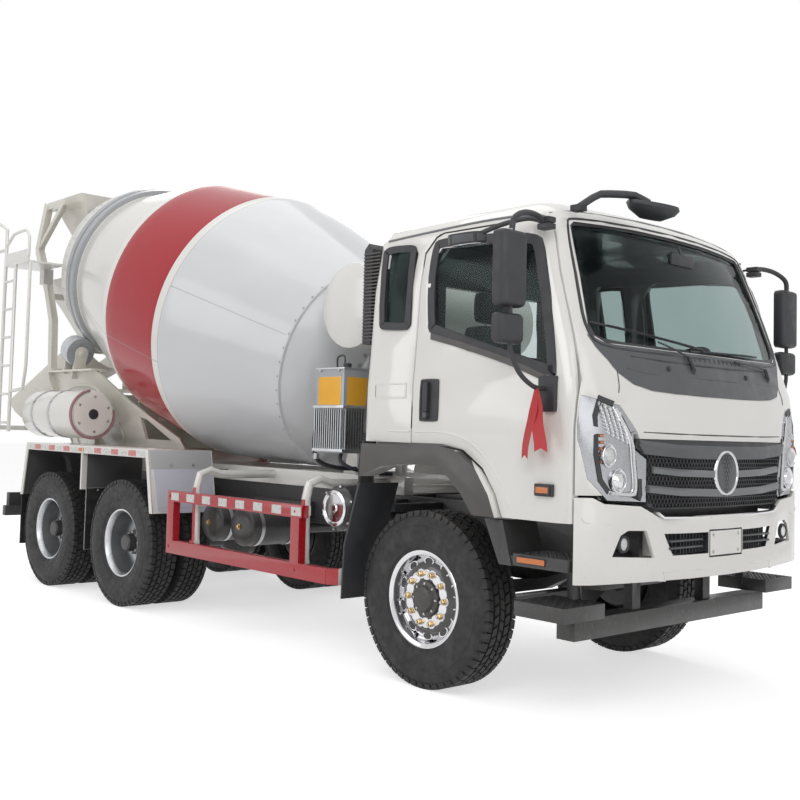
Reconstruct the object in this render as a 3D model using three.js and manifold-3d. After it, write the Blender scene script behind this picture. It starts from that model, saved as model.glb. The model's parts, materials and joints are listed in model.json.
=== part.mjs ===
// Concrete mixer truck: three axles, forward tilting cab, inclined drum, rear discharge chute.
// Millimetres, +X forward, +Y left, +Z up, ground at Z = 0. Pieces are laid out from the front
// axle at X = 0; at the end the whole truck is moved so that its box is centred over the origin.
import * as THREE from 'three';
import { mergeVertices } from 'three/addons/utils/BufferGeometryUtils.js';
import Module from 'manifold-3d';

const wasm = await Module();
wasm.setup();

// ---------------------------------------------------------------- driving dimensions
const GAP = 1;                 // between pieces that touch
const PIN_GAP = 3;             // round a pin or spindle
const MOVE_GAP = 12;           // between pieces that move past each other

const WHEEL_BASE = 3443;       // front axle to first rear axle
const TANDEM = 1350;           // between the two rear axles
const TYRE_RADIUS = 526;
const TYRE_WIDTH = 278;
const RIM_RADIUS = 302;
const RIM_WIDTH = 200;
const FRONT_TRACK = 1950;      // between the middles of the front tyres
const DUAL_TRACK = 1881;       // between the middles of the twin wheels
const DUAL_SPACING = 313;
const WHEEL_SEGMENTS = 20;
const HUB_RADIUS = 42;          // spindle and axle end, inside the hub
const KINGPIN_TRACK = 1700;
const KING_LOW = 476;          // kingpin boss of the front axle
const KING_HIGH = 576;
const STEER_ARM = 180;

const RAIL_OUTSIDE = 430;      // chassis rail outer face, from the middle
const RAIL_BOTTOM = 800;
const RAIL_HEIGHT = 270;
const RAIL_FLANGE = 80;
const RAIL_WALL = 10;
const FRAME_FRONT = 1050;
const FRAME_REAR = -5840;
const SUB_FRAME_HEIGHT = 125;

const BODY_HALF = 1200;        // bumper, doors and steps reach this far out
const GUARD_HALF = 1250;       // side guards and rear fenders
const FENDER_CLEAR = 61;       // rear fender's top past the axles, less than the tyre's radius
const FENDER_FLARE = 100;      // from there to its lower edge
const MUDGUARD_CLEAR = 70;     // from the front tyre back to its mudguard
const GUARD_CLEAR = 114;       // from the front tyre back to the side guard
const GUARD_TAIL = 238;        // from the rear fender forward to the side guard
const TANK_TAIL = 170;         // from the side guard's rear end forward to the tanks
const CAB_REAR = -472;
const CAB_WALL = 60;
const DOOR_WALL = 36;
const GLASS = 8;
const ARCH_TOP = 1455;
const DOOR_BOTTOM = 1070;
const DOOR_FRONT = 1140;
const DOOR_REAR = -16;
const DOOR_TOP = 2712;
const DOOR_GAP = 10;
const DOOR_SIDE = 1125;        // the doors' front edges stand this far out
const HINGE_X = 1125;
const HINGE_Y = 1188;
const HINGE_TOP = 1900;
const SEAT_Y = 480;
const PANEL_BOTTOM = 1140;     // lower edge of the grille

const DRUM_TILT = 17;          // degrees, mouth end up
const DRUM_X = -2700;          // a point on the drum axis
const DRUM_Z = 2290;
const DRUM_RADIUS = 1180;
const DRUM_WALL = 15;
const HEAD_RADIUS = 845;
const TRACK_RADIUS = 935;
const TRACK_WIDTH = 160;
const MOUTH_RADIUS = 850;
const ROLLER_RADIUS = 150;
const ROLLER_ANGLE = 40;       // degrees from straight below the drum axis
// Stations along the drum axis, from the point above, positive to the front.
const HEAD_FRONT = 1240;
const HEAD_EDGE = 941;
const BARREL_FRONT = -320;
const BARREL_REAR = -1270;
const TRACK_AT = -2560;
const MOUTH_AT = -2930;

const PEDESTAL_REAR = -5870;   // rear plate of the rear pedestal
const PEDESTAL_FRONT = -4960;
const PEDESTAL_FOOT = 440;     // half width at the sub frame
const PEDESTAL_EDGE = 32;      // its top reaches this far out past the rollers' middles

const CHUTE_X = -6200;         // chute swing post
const TRUNNION_Z = 2200;
const CHUTE_YAW = 15;          // degrees, parked towards the right
const CHUTE_DIP = 29;
const CHUTE_HEAD = 160;        // ahead of the post
const CHUTE_TAIL = 1300;       // behind the post
const CHUTE_HEAD_RADIUS = 375;
const CHUTE_TAIL_RADIUS = 250;
const CHUTE_WALL = 10;
const CHUTE_RISE = 185;        // middle of the trough above the trunnions

const rad = THREE.MathUtils.degToRad;
const AXLES = { front: 0, mid: -WHEEL_BASE, rear: -WHEEL_BASE - TANDEM };
const FENDER_REACH = TYRE_RADIUS - FENDER_CLEAR;
const GUARD_REAR = AXLES.mid + FENDER_REACH + FENDER_FLARE + GUARD_TAIL;
const GUARD_FRONT = -TYRE_RADIUS - GUARD_CLEAR;
const TANK_REAR = GUARD_REAR + TANK_TAIL;
const RAIL_TOP = RAIL_BOTTOM + RAIL_HEIGHT;
const SUB_TOP = RAIL_TOP + GAP + SUB_FRAME_HEIGHT;
const SIDES = { right: -1, left: 1 };

// ---------------------------------------------------------------- solid helpers
function toSolid(geometry) {
  const bare = new THREE.BufferGeometry();
  bare.setAttribute('position', geometry.getAttribute('position').clone());
  if (geometry.index) bare.setIndex(geometry.index.clone());
  const merged = mergeVertices(bare, 1e-3);
  return new wasm.Manifold(new wasm.Mesh({
    numProp: 3,
    vertProperties: new Float32Array(merged.getAttribute('position').array),
    triVerts: new Uint32Array(merged.index.array),
  }));
}

const join = (...solids) => solids.flat().reduce((sum, next) => sum.add(next));
const cut = (solid, ...tools) => tools.flat().reduce((rest, tool) => rest.subtract(tool), solid);

function box(x0, x1, y0, y1, z0, z1) {
  const size = new THREE.BoxGeometry(x1 - x0, y1 - y0, z1 - z0);
  return toSolid(size.translate((x0 + x1) / 2, (y0 + y1) / 2, (z0 + z1) / 2));
}

function extrude(points, depth, basis, offset) {
  const shape = new THREE.Shape(points.map(([u, v]) => new THREE.Vector2(u, v)));
  const geometry = new THREE.ExtrudeGeometry(shape, { depth, bevelEnabled: false });
  const matrix = new THREE.Matrix4().makeBasis(...basis.map((v) => new THREE.Vector3(...v)));
  return toSolid(geometry.applyMatrix4(matrix.setPosition(...offset)));
}

// Outline in X and Z, across the truck from y0 to y1.
const sidePrism = (points, y0, y1) =>
  extrude(points, y1 - y0, [[1, 0, 0], [0, 0, 1], [0, -1, 0]], [0, y1, 0]);
// Outline in Y and Z, along the truck from x0 to x1.
const frontPrism = (points, x0, x1) =>
  extrude(points, x1 - x0, [[0, 1, 0], [0, 0, 1], [1, 0, 0]], [x0, 0, 0]);
// Outline in X and Y, standing from z0 to z1.
const planPrism = (points, z0, z1) =>
  extrude(points, z1 - z0, [[1, 0, 0], [0, 1, 0], [0, 0, 1]], [0, 0, z0]);

// Profile of [station, radius] pairs turned round an axis through origin.
function turn(profile, origin, direction, segments = 24) {
  const points = profile.map(([s, r]) => new THREE.Vector2(r, s));
  if (THREE.ShapeUtils.isClockWise(points)) points.reverse();
  const lathe = new THREE.LatheGeometry(points, segments);
  const axis = new THREE.Vector3(...direction).normalize();
  const side = Math.abs(axis.z) > 0.9 ? new THREE.Vector3(1, 0, 0) : new THREE.Vector3(0, 0, 1);
  const across = new THREE.Vector3().crossVectors(axis, side).normalize();
  const up = new THREE.Vector3().crossVectors(across, axis);
  const matrix = new THREE.Matrix4().makeBasis(across, axis, up).setPosition(...origin);
  return toSolid(lathe.applyMatrix4(matrix));
}

// Round bar between two points.
function rod(a, b, radius, segments = 12) {
  const from = new THREE.Vector3(...a);
  const along = new THREE.Vector3(...b).sub(from);
  const length = along.length();
  return turn([[0, 0], [0, radius], [length, radius], [length, 0]], a, along.toArray(), segments);
}

// Rectangular bar between two points, thick across and deep along the third direction.
function bar(a, b, across, deep) {
  const from = new THREE.Vector3(...a);
  const to = new THREE.Vector3(...b);
  const axis = to.clone().sub(from);
  const length = axis.length();
  axis.normalize();
  const side = Math.abs(axis.y) > 0.9 ? new THREE.Vector3(1, 0, 0) : new THREE.Vector3(0, 1, 0);
  const up = new THREE.Vector3().crossVectors(axis, side).normalize();
  const flat = new THREE.Vector3().crossVectors(up, axis);
  const matrix = new THREE.Matrix4().makeBasis(axis, flat, up);
  matrix.setPosition(from.add(to).multiplyScalar(0.5));
  return toSolid(new THREE.BoxGeometry(length, across, deep).applyMatrix4(matrix));
}

// Bent round tube through a list of points.
function pipe(points, radius, steps = 4, segments = 4) {
  const path = new THREE.CatmullRomCurve3(points.map((p) => new THREE.Vector3(...p)));
  path.curveType = 'catmullrom';
  path.tension = 0.2;
  const section = new THREE.Shape();
  section.absarc(0, 0, radius, 0, Math.PI * 2);
  return toSolid(new THREE.ExtrudeGeometry(section, {
    steps: steps * (points.length - 1), curveSegments: segments, bevelEnabled: false,
    extrudePath: path,
  }));
}

// Closed skin through rings of equal point counts, stacked from bottom to top.
function loft(rings) {
  const count = rings[0].length;
  const middle = (ring) => ring.reduce((sum, p) => sum.add(p), new THREE.Vector3())
    .divideScalar(count);
  const vertices = [...rings.flat(), middle(rings[0]), middle(rings.at(-1))];
  const index = [];
  const foot = rings.length * count;
  for (let i = 0; i < count; i += 1) {
    const next = (i + 1) % count;
    for (let level = 0; level < rings.length - 1; level += 1) {
      const low = level * count;
      const high = low + count;
      index.push(low + i, low + next, high + next, low + i, high + next, high + i);
    }
    const top = (rings.length - 1) * count;
    index.push(foot, next, i, foot + 1, top + i, top + next);
  }
  const geometry = new THREE.BufferGeometry();
  geometry.setAttribute('position',
    new THREE.Float32BufferAttribute(vertices.flatMap((v) => v.toArray()), 3));
  geometry.setIndex(index);
  return toSolid(geometry);
}

const mirrorPoints = (points) => [...points, ...points.map(([y, z]) => [-y, z]).reverse()];
const flip = (solid) => solid.mirror([0, 1, 0]);
const onSide = (side, solid) => (side === 'left' ? flip(solid) : solid);

function toGeometry(solid) {
  const mesh = solid.getMesh();
  const geometry = new THREE.BufferGeometry();
  const positions = new Float32Array(mesh.vertProperties);
  geometry.setAttribute('position', new THREE.BufferAttribute(positions, 3));
  geometry.setIndex(new THREE.BufferAttribute(new Uint32Array(mesh.triVerts), 1));
  geometry.computeVertexNormals();
  return geometry;
}

const PAINT = {
  white: [0xe9e7e2, 0.25, 0], red: [0xb3121f, 0.35, 0], black: [0x141414, 0.6, 0],
  rubber: [0x181818, 0.9, 0], plastic: [0x3b3b40, 0.7, 0], steel: [0x8b8e90, 0.4, 0.9],
  chrome: [0xd0d2d4, 0.12, 1], glass: [0x30383a, 0.05, 0], grey: [0x8f9498, 0.5, 0.2],
  drum: [0xd8dcde, 0.25, 0], seat: [0x55575c, 0.8, 0],
};

const truck = new THREE.Group();
function node(group, name, solid, paint) {
  const [color, roughness, metalness] = PAINT[paint];
  const material = new THREE.MeshStandardMaterial({ color, roughness, metalness });
  const mesh = new THREE.Mesh(toGeometry(solid), material);
  mesh.name = name;
  group.add(mesh);
}

// ---------------------------------------------------------------- chassis
function railSection(side, outside, bottom, height, flange, wall) {
  const inner = outside - flange;
  const points = [[outside, bottom], [outside, bottom + height], [inner, bottom + height],
    [inner, bottom + height - wall], [outside - wall, bottom + height - wall],
    [outside - wall, bottom + wall], [inner, bottom + wall], [inner, bottom]];
  return points.map(([y, z]) => [y * SIDES[side], z]);
}

const CROSS_MEMBERS = [980, -1330, -2350, -4118, -5780];

function chassisFrame() {
  const rails = Object.keys(SIDES).map((side) => frontPrism(
    railSection(side, RAIL_OUTSIDE, RAIL_BOTTOM, RAIL_HEIGHT, RAIL_FLANGE, RAIL_WALL),
    FRAME_REAR, FRAME_FRONT));
  const reach = RAIL_OUTSIDE - RAIL_WALL / 2;
  const members = CROSS_MEMBERS.map((x) =>
    box(x - 40, x + 40, -reach, reach, RAIL_BOTTOM + 110, RAIL_TOP - 30));
  return join(rails, members, underrunBar());
}

function subFrame() {
  const front = -860;
  const low = RAIL_TOP + GAP;
  const rails = Object.values(SIDES).map((s) => {
    const edges = [s * RAIL_OUTSIDE, s * (RAIL_OUTSIDE - 90)].sort((a, b) => a - b);
    return box(FRAME_REAR, front, edges[0], edges[1], low, SUB_TOP);
  });
  const ties = [front - 60, -2450, -3500, -4700, FRAME_REAR + 60].map((x) =>
    box(x - 50, x + 50, -RAIL_OUTSIDE + 20, RAIL_OUTSIDE - 20, low + 10, low + 70));
  return join(rails, ties);
}

function bumperOutline(inset) {
  return planOutline(1345 - inset, BODY_HALF - inset, 900, 0);
}

function bumper() {
  const rearEdge = 1150;
  const low = 760;
  const wingTop = 1206;
  const ledgeTop = 1100;
  const skin = 22;
  const outer = planPrism(bumperOutline(0), low, wingTop);
  const inner = planPrism(bumperOutline(skin), low - 10, wingTop + 10);
  const behind = box(0, rearEdge, -2000, 2000, 0, 3000);
  const dip = frontPrism(mirrorPoints([[620, ledgeTop], [760, 1160], [1010, 1175],
    [1130, wingTop + 20], [1130, wingTop + 90]]), 1000, 1500);
  const brace = box(rearEdge, 1330, -RAIL_OUTSIDE, RAIL_OUTSIDE, 900, 960);
  const arms = Object.values(SIDES).map((s) =>
    box(FRAME_FRONT + GAP, 1200, s * 360 - 40, s * 360 + 40, 860, 1000));
  return join(cut(outer, inner, behind, dip), brace, arms);
}

function underrunBar() {
  const beam = box(920, 1040, -1000, 1000, 435, 548);
  const hangers = Object.values(SIDES).map((s) =>
    box(940, 1000, s * 375 - 40, s * 375 + 40, 540, RAIL_BOTTOM + 5));
  return join(beam, hangers);
}

function engineBlock() {
  return join(box(-650, 720, -330, 330, 610, 1090), box(-1240, -640, -190, 190, 660, 1000));
}

function leafSpring(y, x, reach, middleTop, endTop, thick) {
  const top = [[-reach, endTop], [-reach * 0.5, middleTop + (endTop - middleTop) * 0.3],
    [0, middleTop], [reach * 0.5, middleTop + (endTop - middleTop) * 0.3], [reach, endTop]];
  const low = [[reach, endTop - thick * 0.3], [reach * 0.5, top[3][1] - thick * 0.75],
    [0, middleTop - thick], [-reach * 0.5, top[1][1] - thick * 0.75],
    [-reach, endTop - thick * 0.3]];
  return sidePrism([...top, ...low].map(([u, v]) => [u + x, v]), y - 40, y + 40);
}

function frontAxle() {
  const half = KINGPIN_TRACK / 2;
  const beam = frontPrism(mirrorPoints([[560, 380], [720, 470], [half, 480], [half, 570],
    [700, 570], [540, 480]]), -50, 50);
  const bosses = Object.values(SIDES).map((s) =>
    rod([0, s * half, KING_LOW], [0, s * half, KING_HIGH], 46));
  const springs = Object.values(SIDES).map((s) =>
    leafSpring(s * (RAIL_OUTSIDE - 45), 0, 760, 590, RAIL_BOTTOM - GAP, 90));
  const seats = Object.values(SIDES).map((s) =>
    box(-55, 55, s * (RAIL_OUTSIDE - 45) - 45, s * (RAIL_OUTSIDE - 45) + 45, 470, 510));
  return join(beam, bosses, springs, seats);
}

function axleHousing(x) {
  const end = DUAL_TRACK / 2 - DUAL_SPACING / 2 - TYRE_WIDTH / 2 - 20;
  const half = [[0, 185], [90, 170], [190, 75], [end, 75], [end, HUB_RADIUS], [1000, HUB_RADIUS],
    [1000, 0]];
  const profile = [...half.map(([s, r]) => [-s, r]).reverse(), ...half.slice(1)];
  return turn(profile, [x, 0, TYRE_RADIUS], [0, 1, 0], 16);
}

function rearAxles() {
  const middle = (AXLES.mid + AXLES.rear) / 2;
  const springs = Object.values(SIDES).map((s) =>
    leafSpring(s * (RAIL_OUTSIDE + 70), middle, 700, 760, 660, 130));
  const seats = [AXLES.mid, AXLES.rear].flatMap((x) => Object.values(SIDES).map((s) =>
    box(x - 60, x + 60, s * 500 - 45, s * 500 + 45, 560, 650)));
  const trunnion = rod([middle, -540, 680], [middle, 540, 680], 60);
  const shaft = rod([AXLES.rear + 150, 0, 560], [AXLES.mid - 150, 0, 560], 45);
  const propshaft = rod([AXLES.mid + 150, 0, 600], [-1255, 0, 840], 50);
  return join(axleHousing(AXLES.mid), axleHousing(AXLES.rear), springs, seats, trunnion, shaft,
    propshaft);
}

function fuelTank() {
  const corner = TANK_REAR + 50;
  const tank = sidePrism([[corner, 520], [-1180, 520], [-1130, 570], [-1130, 1040],
    [-1180, 1090], [corner, 1090], [TANK_REAR, 1040], [TANK_REAR, 570]], 520, 1080);
  const brackets = [TANK_REAR + 270, -1400].map((x) =>
    box(x - 40, x + 40, RAIL_OUTSIDE + GAP, 530, 840, 1040));
  return join(tank, brackets);
}

function airTanks() {
  const tanks = [TANK_REAR + 90, TANK_REAR + 490].map((x) =>
    rod([x, -1000, 780], [x, -520, 780], 145, 16));
  const bracket = box(TANK_REAR - 30, TANK_REAR + 620, -530, -RAIL_OUTSIDE - GAP, 860, 960);
  return join(tanks, bracket);
}

function airCleaner() {
  const body = turn([[0, 0], [0, 120], [40, 150], [430, 150], [430, 0]],
    [-870, -1060, 1000], [0, 1, 0], 20);
  const bracket = box(-920, -820, -660, -RAIL_OUTSIDE - GAP, 950, 1050);
  const duct = pipe([[-870, -780, 1120], [-800, -850, 1300], [-700, -900, 1500],
    [-640, -930, 1800], [-630, -930, 2030]], 55);
  return join(body, bracket, duct);
}

function oilCooler() {
  const shell = box(-1260, -960, -930, -480, 1360, 1950);
  const legs = [-1200, -1020].map((x) =>
    box(x - 25, x + 25, -560, -500, SUB_TOP + GAP, 1370));
  const foot = box(-1240, -980, -560, -392, SUB_TOP + GAP, SUB_TOP + 40);
  return join(shell, legs, foot);
}

function sideGuard() {
  const y = -GUARD_HALF;
  const deep = 60;
  const top = box(GUARD_REAR, -980, y, y + deep, 930, 1012);
  const tip = GUARD_FRONT;
  const low = box(GUARD_REAR, tip - 80, y, y + deep, 532, 632);
  const nose = planPrism([[tip - 90, y], [tip - 40, y + 15], [tip - 8, y + 50], [tip, y + 100],
    [tip, y + 190], [tip - 50, y + 190], [tip - 50, y + 100], [tip - 90, y + deep]], 532, 632);
  const posts = [GUARD_REAR + 30, -1050].map((x) => box(x - 45, x + 45, y, y + deep, 532, 1012));
  const armsAt = [GUARD_REAR + 260, -1050];
  const arms = armsAt.map((x) => pipe([[x, y + 90, 632], [x, y + 90, 1100],
    [x, y + 160, 1190], [x, y + 300, 1150], [x, -RAIL_OUTSIDE - GAP, 1150]], 32, 3));
  const clamps = armsAt.flatMap((x) => [[540, 650], [940, 1004]].map(([z0, z1]) =>
    box(x - 30, x + 30, y + deep - 5, y + 110, z0, z1)));
  return join(top, low, nose, posts, arms, clamps);
}

function rearFender() {
  const out = -GUARD_HALF;
  const inside = -640;
  const skin = 18;
  const top = 1315;
  const frontX = AXLES.mid + FENDER_REACH;
  const rearX = AXLES.rear - FENDER_REACH;
  const [footFront, footRear] = [frontX + FENDER_FLARE, rearX - FENDER_FLARE];
  const roof = sidePrism([[footRear, 810], [rearX, top], [frontX, top], [footFront, 810],
    [footFront - skin, 810], [frontX - skin, top - skin], [rearX + skin, top - skin],
    [footRear + skin, 810]], out, inside);
  const middleX = (AXLES.mid + AXLES.rear) / 2;
  const divider = box(middleX - skin / 2, middleX + skin / 2, out + 40, inside, 1090, top - 5);
  const lip = box(rearX, frontX, out, out + skin, top - 62, top - 4);
  const flap = box(footRear - 1, footRear + 15, out + 10, inside, 335, 830);
  const carriers = [rearX + 90, frontX - 75].map((x) => join(
    box(x - 30, x + 30, inside - 50, inside, 1105, top - 5),
    box(x - 30, x + 30, inside - 50, -RAIL_OUTSIDE - GAP, 1105, 1160)));
  return join(roof, divider, lip, flap, carriers);
}

function frontMudguard() {
  const out = -BODY_HALF;
  const inside = -860;
  const x = -TYRE_RADIUS - MUDGUARD_CLEAR;
  const rear = sidePrism([[-470, 1190], [-490, 1190], [x - 16, 790], [x - 30, 450], [x - 16, 450],
    [x, 790]], out, inside);
  const foot = Math.round(-490 + (x - 16 + 490) * (1190 - 1025) / (1190 - 790)) - 5;
  const stay = box(foot, foot + 60, inside - 10, -RAIL_OUTSIDE - GAP, 1000, 1050);
  return join(rear, stay);
}

function steps() {
  const out = -BODY_HALF;
  const upper = box(770, 1130, out + 10, -900, 820, 885);
  const lower = box(800, 1130, out - 10, -860, 560, 640);
  const sideArm = bar([950, -880, 600], [950, -900, 860], 60, 50);
  const stay = box(880, 1000, -900, -RAIL_OUTSIDE - GAP, 830, 880);
  const shield = sidePrism([[560, 1055], [690, 1055], [760, 815], [672, 815]], out + 10, -900);
  const link = box(690, 800, out + 20, -900, 822, 870);
  return join(upper, lower, sideArm, stay, shield, link);
}

function rearBumper() {
  const beam = box(FRAME_REAR - 90, FRAME_REAR - 20, -1180, 1180, 560, 660);
  const hangers = Object.values(SIDES).map((s) =>
    box(FRAME_REAR - 80, FRAME_REAR - GAP, s * 390 - 40, s * 390 + 40, 600, RAIL_TOP - 10));
  const lamps = Object.values(SIDES).map((s) =>
    box(FRAME_REAR - 100, FRAME_REAR - 30, s * 930 - 210, s * 930 + 210, 650, 790));
  return join(beam, hangers, lamps);
}

// ---------------------------------------------------------------- drum and its supports
const AXIS = [Math.cos(rad(DRUM_TILT)), 0, -Math.sin(rad(DRUM_TILT))];
const ACROSS_UP = [Math.sin(rad(DRUM_TILT)), 0, Math.cos(rad(DRUM_TILT))];
// Point at a station of the drum axis, out by y and up by n square to the axis.
const onDrum = (s, y = 0, n = 0) => [DRUM_X + s * AXIS[0] + n * ACROSS_UP[0], y,
  DRUM_Z + s * AXIS[2] + n * ACROSS_UP[2]];

function drum() {
  const trackFront = TRACK_AT + TRACK_WIDTH / 2;
  const trackRear = TRACK_AT - TRACK_WIDTH / 2;
  const neck = TRACK_RADIUS - 55;
  const outer = [[HEAD_FRONT + 50, 0], [HEAD_FRONT + 50, 310], [HEAD_FRONT, 310],
    [HEAD_FRONT - 60, HEAD_RADIUS * 0.62], [HEAD_FRONT - 160, HEAD_RADIUS * 0.86],
    [HEAD_EDGE, HEAD_RADIUS], [BARREL_FRONT, DRUM_RADIUS], [BARREL_REAR, DRUM_RADIUS],
    [trackFront, neck], [trackFront, TRACK_RADIUS], [trackRear, TRACK_RADIUS],
    [trackRear, neck], [MOUTH_AT, MOUTH_RADIUS]];
  const inner = [[MOUTH_AT, MOUTH_RADIUS - DRUM_WALL], [trackRear, neck - DRUM_WALL],
    [trackFront, neck - DRUM_WALL], [BARREL_REAR, DRUM_RADIUS - DRUM_WALL],
    [BARREL_FRONT, DRUM_RADIUS - DRUM_WALL], [HEAD_EDGE - 4, HEAD_RADIUS - DRUM_WALL],
    [HEAD_FRONT - 170, HEAD_RADIUS * 0.86 - DRUM_WALL],
    [HEAD_FRONT - 75, HEAD_RADIUS * 0.62 - DRUM_WALL], [HEAD_FRONT - DRUM_WALL, 0]];
  return turn([...outer, ...inner], onDrum(0), AXIS, 40);
}

function frontPedestal() {
  const flange = HEAD_FRONT + 50 + MOVE_GAP / 2;
  const gearbox = turn([[flange, 0], [flange, 260], [flange + 180, 260], [flange + 260, 200],
    [flange + 260, 110], [flange + 420, 110], [flange + 420, 0]], onDrum(0), AXIS, 20);
  const [x, , z] = onDrum(flange + 90);
  const legs = Object.values(SIDES).map((s) => sidePrism([[x - 190, SUB_TOP + GAP],
    [x + 260, SUB_TOP + GAP], [x + 130, z - 60], [x - 10, z - 60]], s * 370 - 20, s * 370 + 20));
  const saddle = frontPrism([[-400, z - 330], [400, z - 330], [390, z - 60], [260, z - 60],
    [150, z - 180], [-150, z - 180], [-260, z - 60], [-390, z - 60]], x + 10, x + 60);
  return join(gearbox, legs, saddle);
}

function roller(side) {
  const turned = rad(ROLLER_ANGLE);
  const centre = onDrum(TRACK_AT, SIDES[side] * ROLLER_Y, -ROLLER_OUT * Math.cos(turned));
  const half = TRACK_WIDTH / 2 - 5;
  const bore = 30 + PIN_GAP;
  return { centre, half, solid: turn([[-half, bore], [half, bore], [half, ROLLER_RADIUS],
    [-half, ROLLER_RADIUS], [-half, bore]], centre, AXIS, 20) };
}

const along = (point, s) => point.map((value, i) => value + AXIS[i] * s);

// The rear pedestal ends just under the rollers and leans out to carry them.
const ROLLER_OUT = TRACK_RADIUS + ROLLER_RADIUS + GAP;
const ROLLER_Y = ROLLER_OUT * Math.sin(rad(ROLLER_ANGLE));
const ROLLER_Z = onDrum(TRACK_AT, 0, -ROLLER_OUT * Math.cos(rad(ROLLER_ANGLE)))[2];
const ROLLER_FOOT = ROLLER_Z - ROLLER_RADIUS * ACROSS_UP[2] + AXIS[2] * TRACK_WIDTH / 2;
const PEDESTAL_TOP = Math.floor(ROLLER_FOOT / 10) * 10 - 20;
const PEDESTAL_LEAN = Math.round(100 * (ROLLER_Y + PEDESTAL_EDGE - PEDESTAL_FOOT)
  / (PEDESTAL_TOP - SUB_TOP)) / 100;

// Half width of the rear pedestal at a height.
const pedestalHalf = (z) => PEDESTAL_FOOT + (z - SUB_TOP) * PEDESTAL_LEAN;

function rollerSeat(side) {
  const { centre, half } = roller(side);
  const pin = rod(along(centre, -half - 45), along(centre, half + 45), 30, 12);
  const drop = (centre[2] - PEDESTAL_TOP + 60) / ACROSS_UP[2];
  const ears = [-half - MOVE_GAP - 20, half + MOVE_GAP].map((s) => {
    const cheek = rod(along(centre, s), along(centre, s + 20), 70, 12);
    const middle = along(centre, s + 10);
    const foot = middle.map((value, i) => value - ACROSS_UP[i] * drop);
    return join(cheek, bar(middle, foot, 130, 20));
  });
  return join(pin, ears);
}

function pedestalSide(side) {
  const low = SUB_TOP + GAP;
  const front = PEDESTAL_FRONT;
  const outline = [[PEDESTAL_REAR, low], [PEDESTAL_REAR, PEDESTAL_TOP], [front, PEDESTAL_TOP],
    [-4450, 1745], [-3700, 1400], [-3600, low]];
  const window = [[-4300, 1590], [-4180, 1560], [-3850, 1380], [-4300, 1380]];
  const plate = cut(sidePrism(outline, -15, 15), sidePrism(window, -30, 30));
  const shear = PEDESTAL_LEAN * SIDES[side];
  const offset = SIDES[side] * (PEDESTAL_FOOT - 15) - shear * SUB_TOP;
  return plate.transform([1, 0, 0, 0, 0, 1, 0, 0, 0, shear, 1, 0, 0, offset, 0, 1]);
}

function rearPedestal() {
  const low = SUB_TOP + GAP;
  const topHalf = pedestalHalf(PEDESTAL_TOP);
  const flanges = Object.values(SIDES).map((s) => planPrism([[PEDESTAL_REAR, s * (topHalf + 60)],
    [PEDESTAL_FRONT + 60, s * (topHalf + 60)], [PEDESTAL_FRONT + 60, s * (topHalf - 110)],
    [PEDESTAL_REAR, s * (topHalf - 260)]], PEDESTAL_TOP - 20, PEDESTAL_TOP));
  const footHalf = pedestalHalf(low);
  const end = frontPrism(mirrorPoints([[footHalf, low], [topHalf + 40, PEDESTAL_TOP - 100],
    [topHalf + 60, PEDESTAL_TOP], [topHalf - 260, PEDESTAL_TOP], [260, 1700]]),
  PEDESTAL_REAR, PEDESTAL_REAR + 20);
  const ties = [[-5300, 1500], [-4600, 1240], [-3720, 1230]].map(([x, z]) =>
    box(x - 40, x + 40, -pedestalHalf(z) + 10, pedestalHalf(z) - 10, low, z + 60));
  return join(pedestalSide('right'), pedestalSide('left'), flanges, end, ties,
    rollerSeat('right'), rollerSeat('left'));
}

function waterTank() {
  const centre = [-1040, 0, 2390];
  const end = 820;
  const tank = turn([[-end - 40, 0], [-end - 25, 180], [-end, 300], [end, 300], [end + 25, 180],
    [end + 40, 0]], centre, [0, 1, 0], 24);
  const legs = Object.values(SIDES).map((s) =>
    box(-1075, -1005, s * 290 - 30, s * 290 + 30, SUB_TOP + GAP, 2110));
  return join(tank, legs);
}

function additiveTank() {
  const tank = turn([[0, 0], [0, 200], [20, 228], [1060, 228], [1080, 200], [1080, 0]],
    [-5600, -950, 1600], [1, 0, 0], 20);
  const stays = [-5350, -4750].map((x) =>
    box(x - 30, x + 30, -900, -pedestalHalf(1540) - GAP, 1480, 1540));
  return join(tank, stays);
}

// Four sided funnel through levels of [height, front x, rear x, half width].
function funnel(levels) {
  return loft(levels.map(([z, front, rear, half]) => [[front, -half], [front, half],
    [rear, half], [rear, -half]].map(([x, y]) => new THREE.Vector3(x, y, z))));
}

const POST_HALF = 720;         // hopper posts, from the middle

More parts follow.
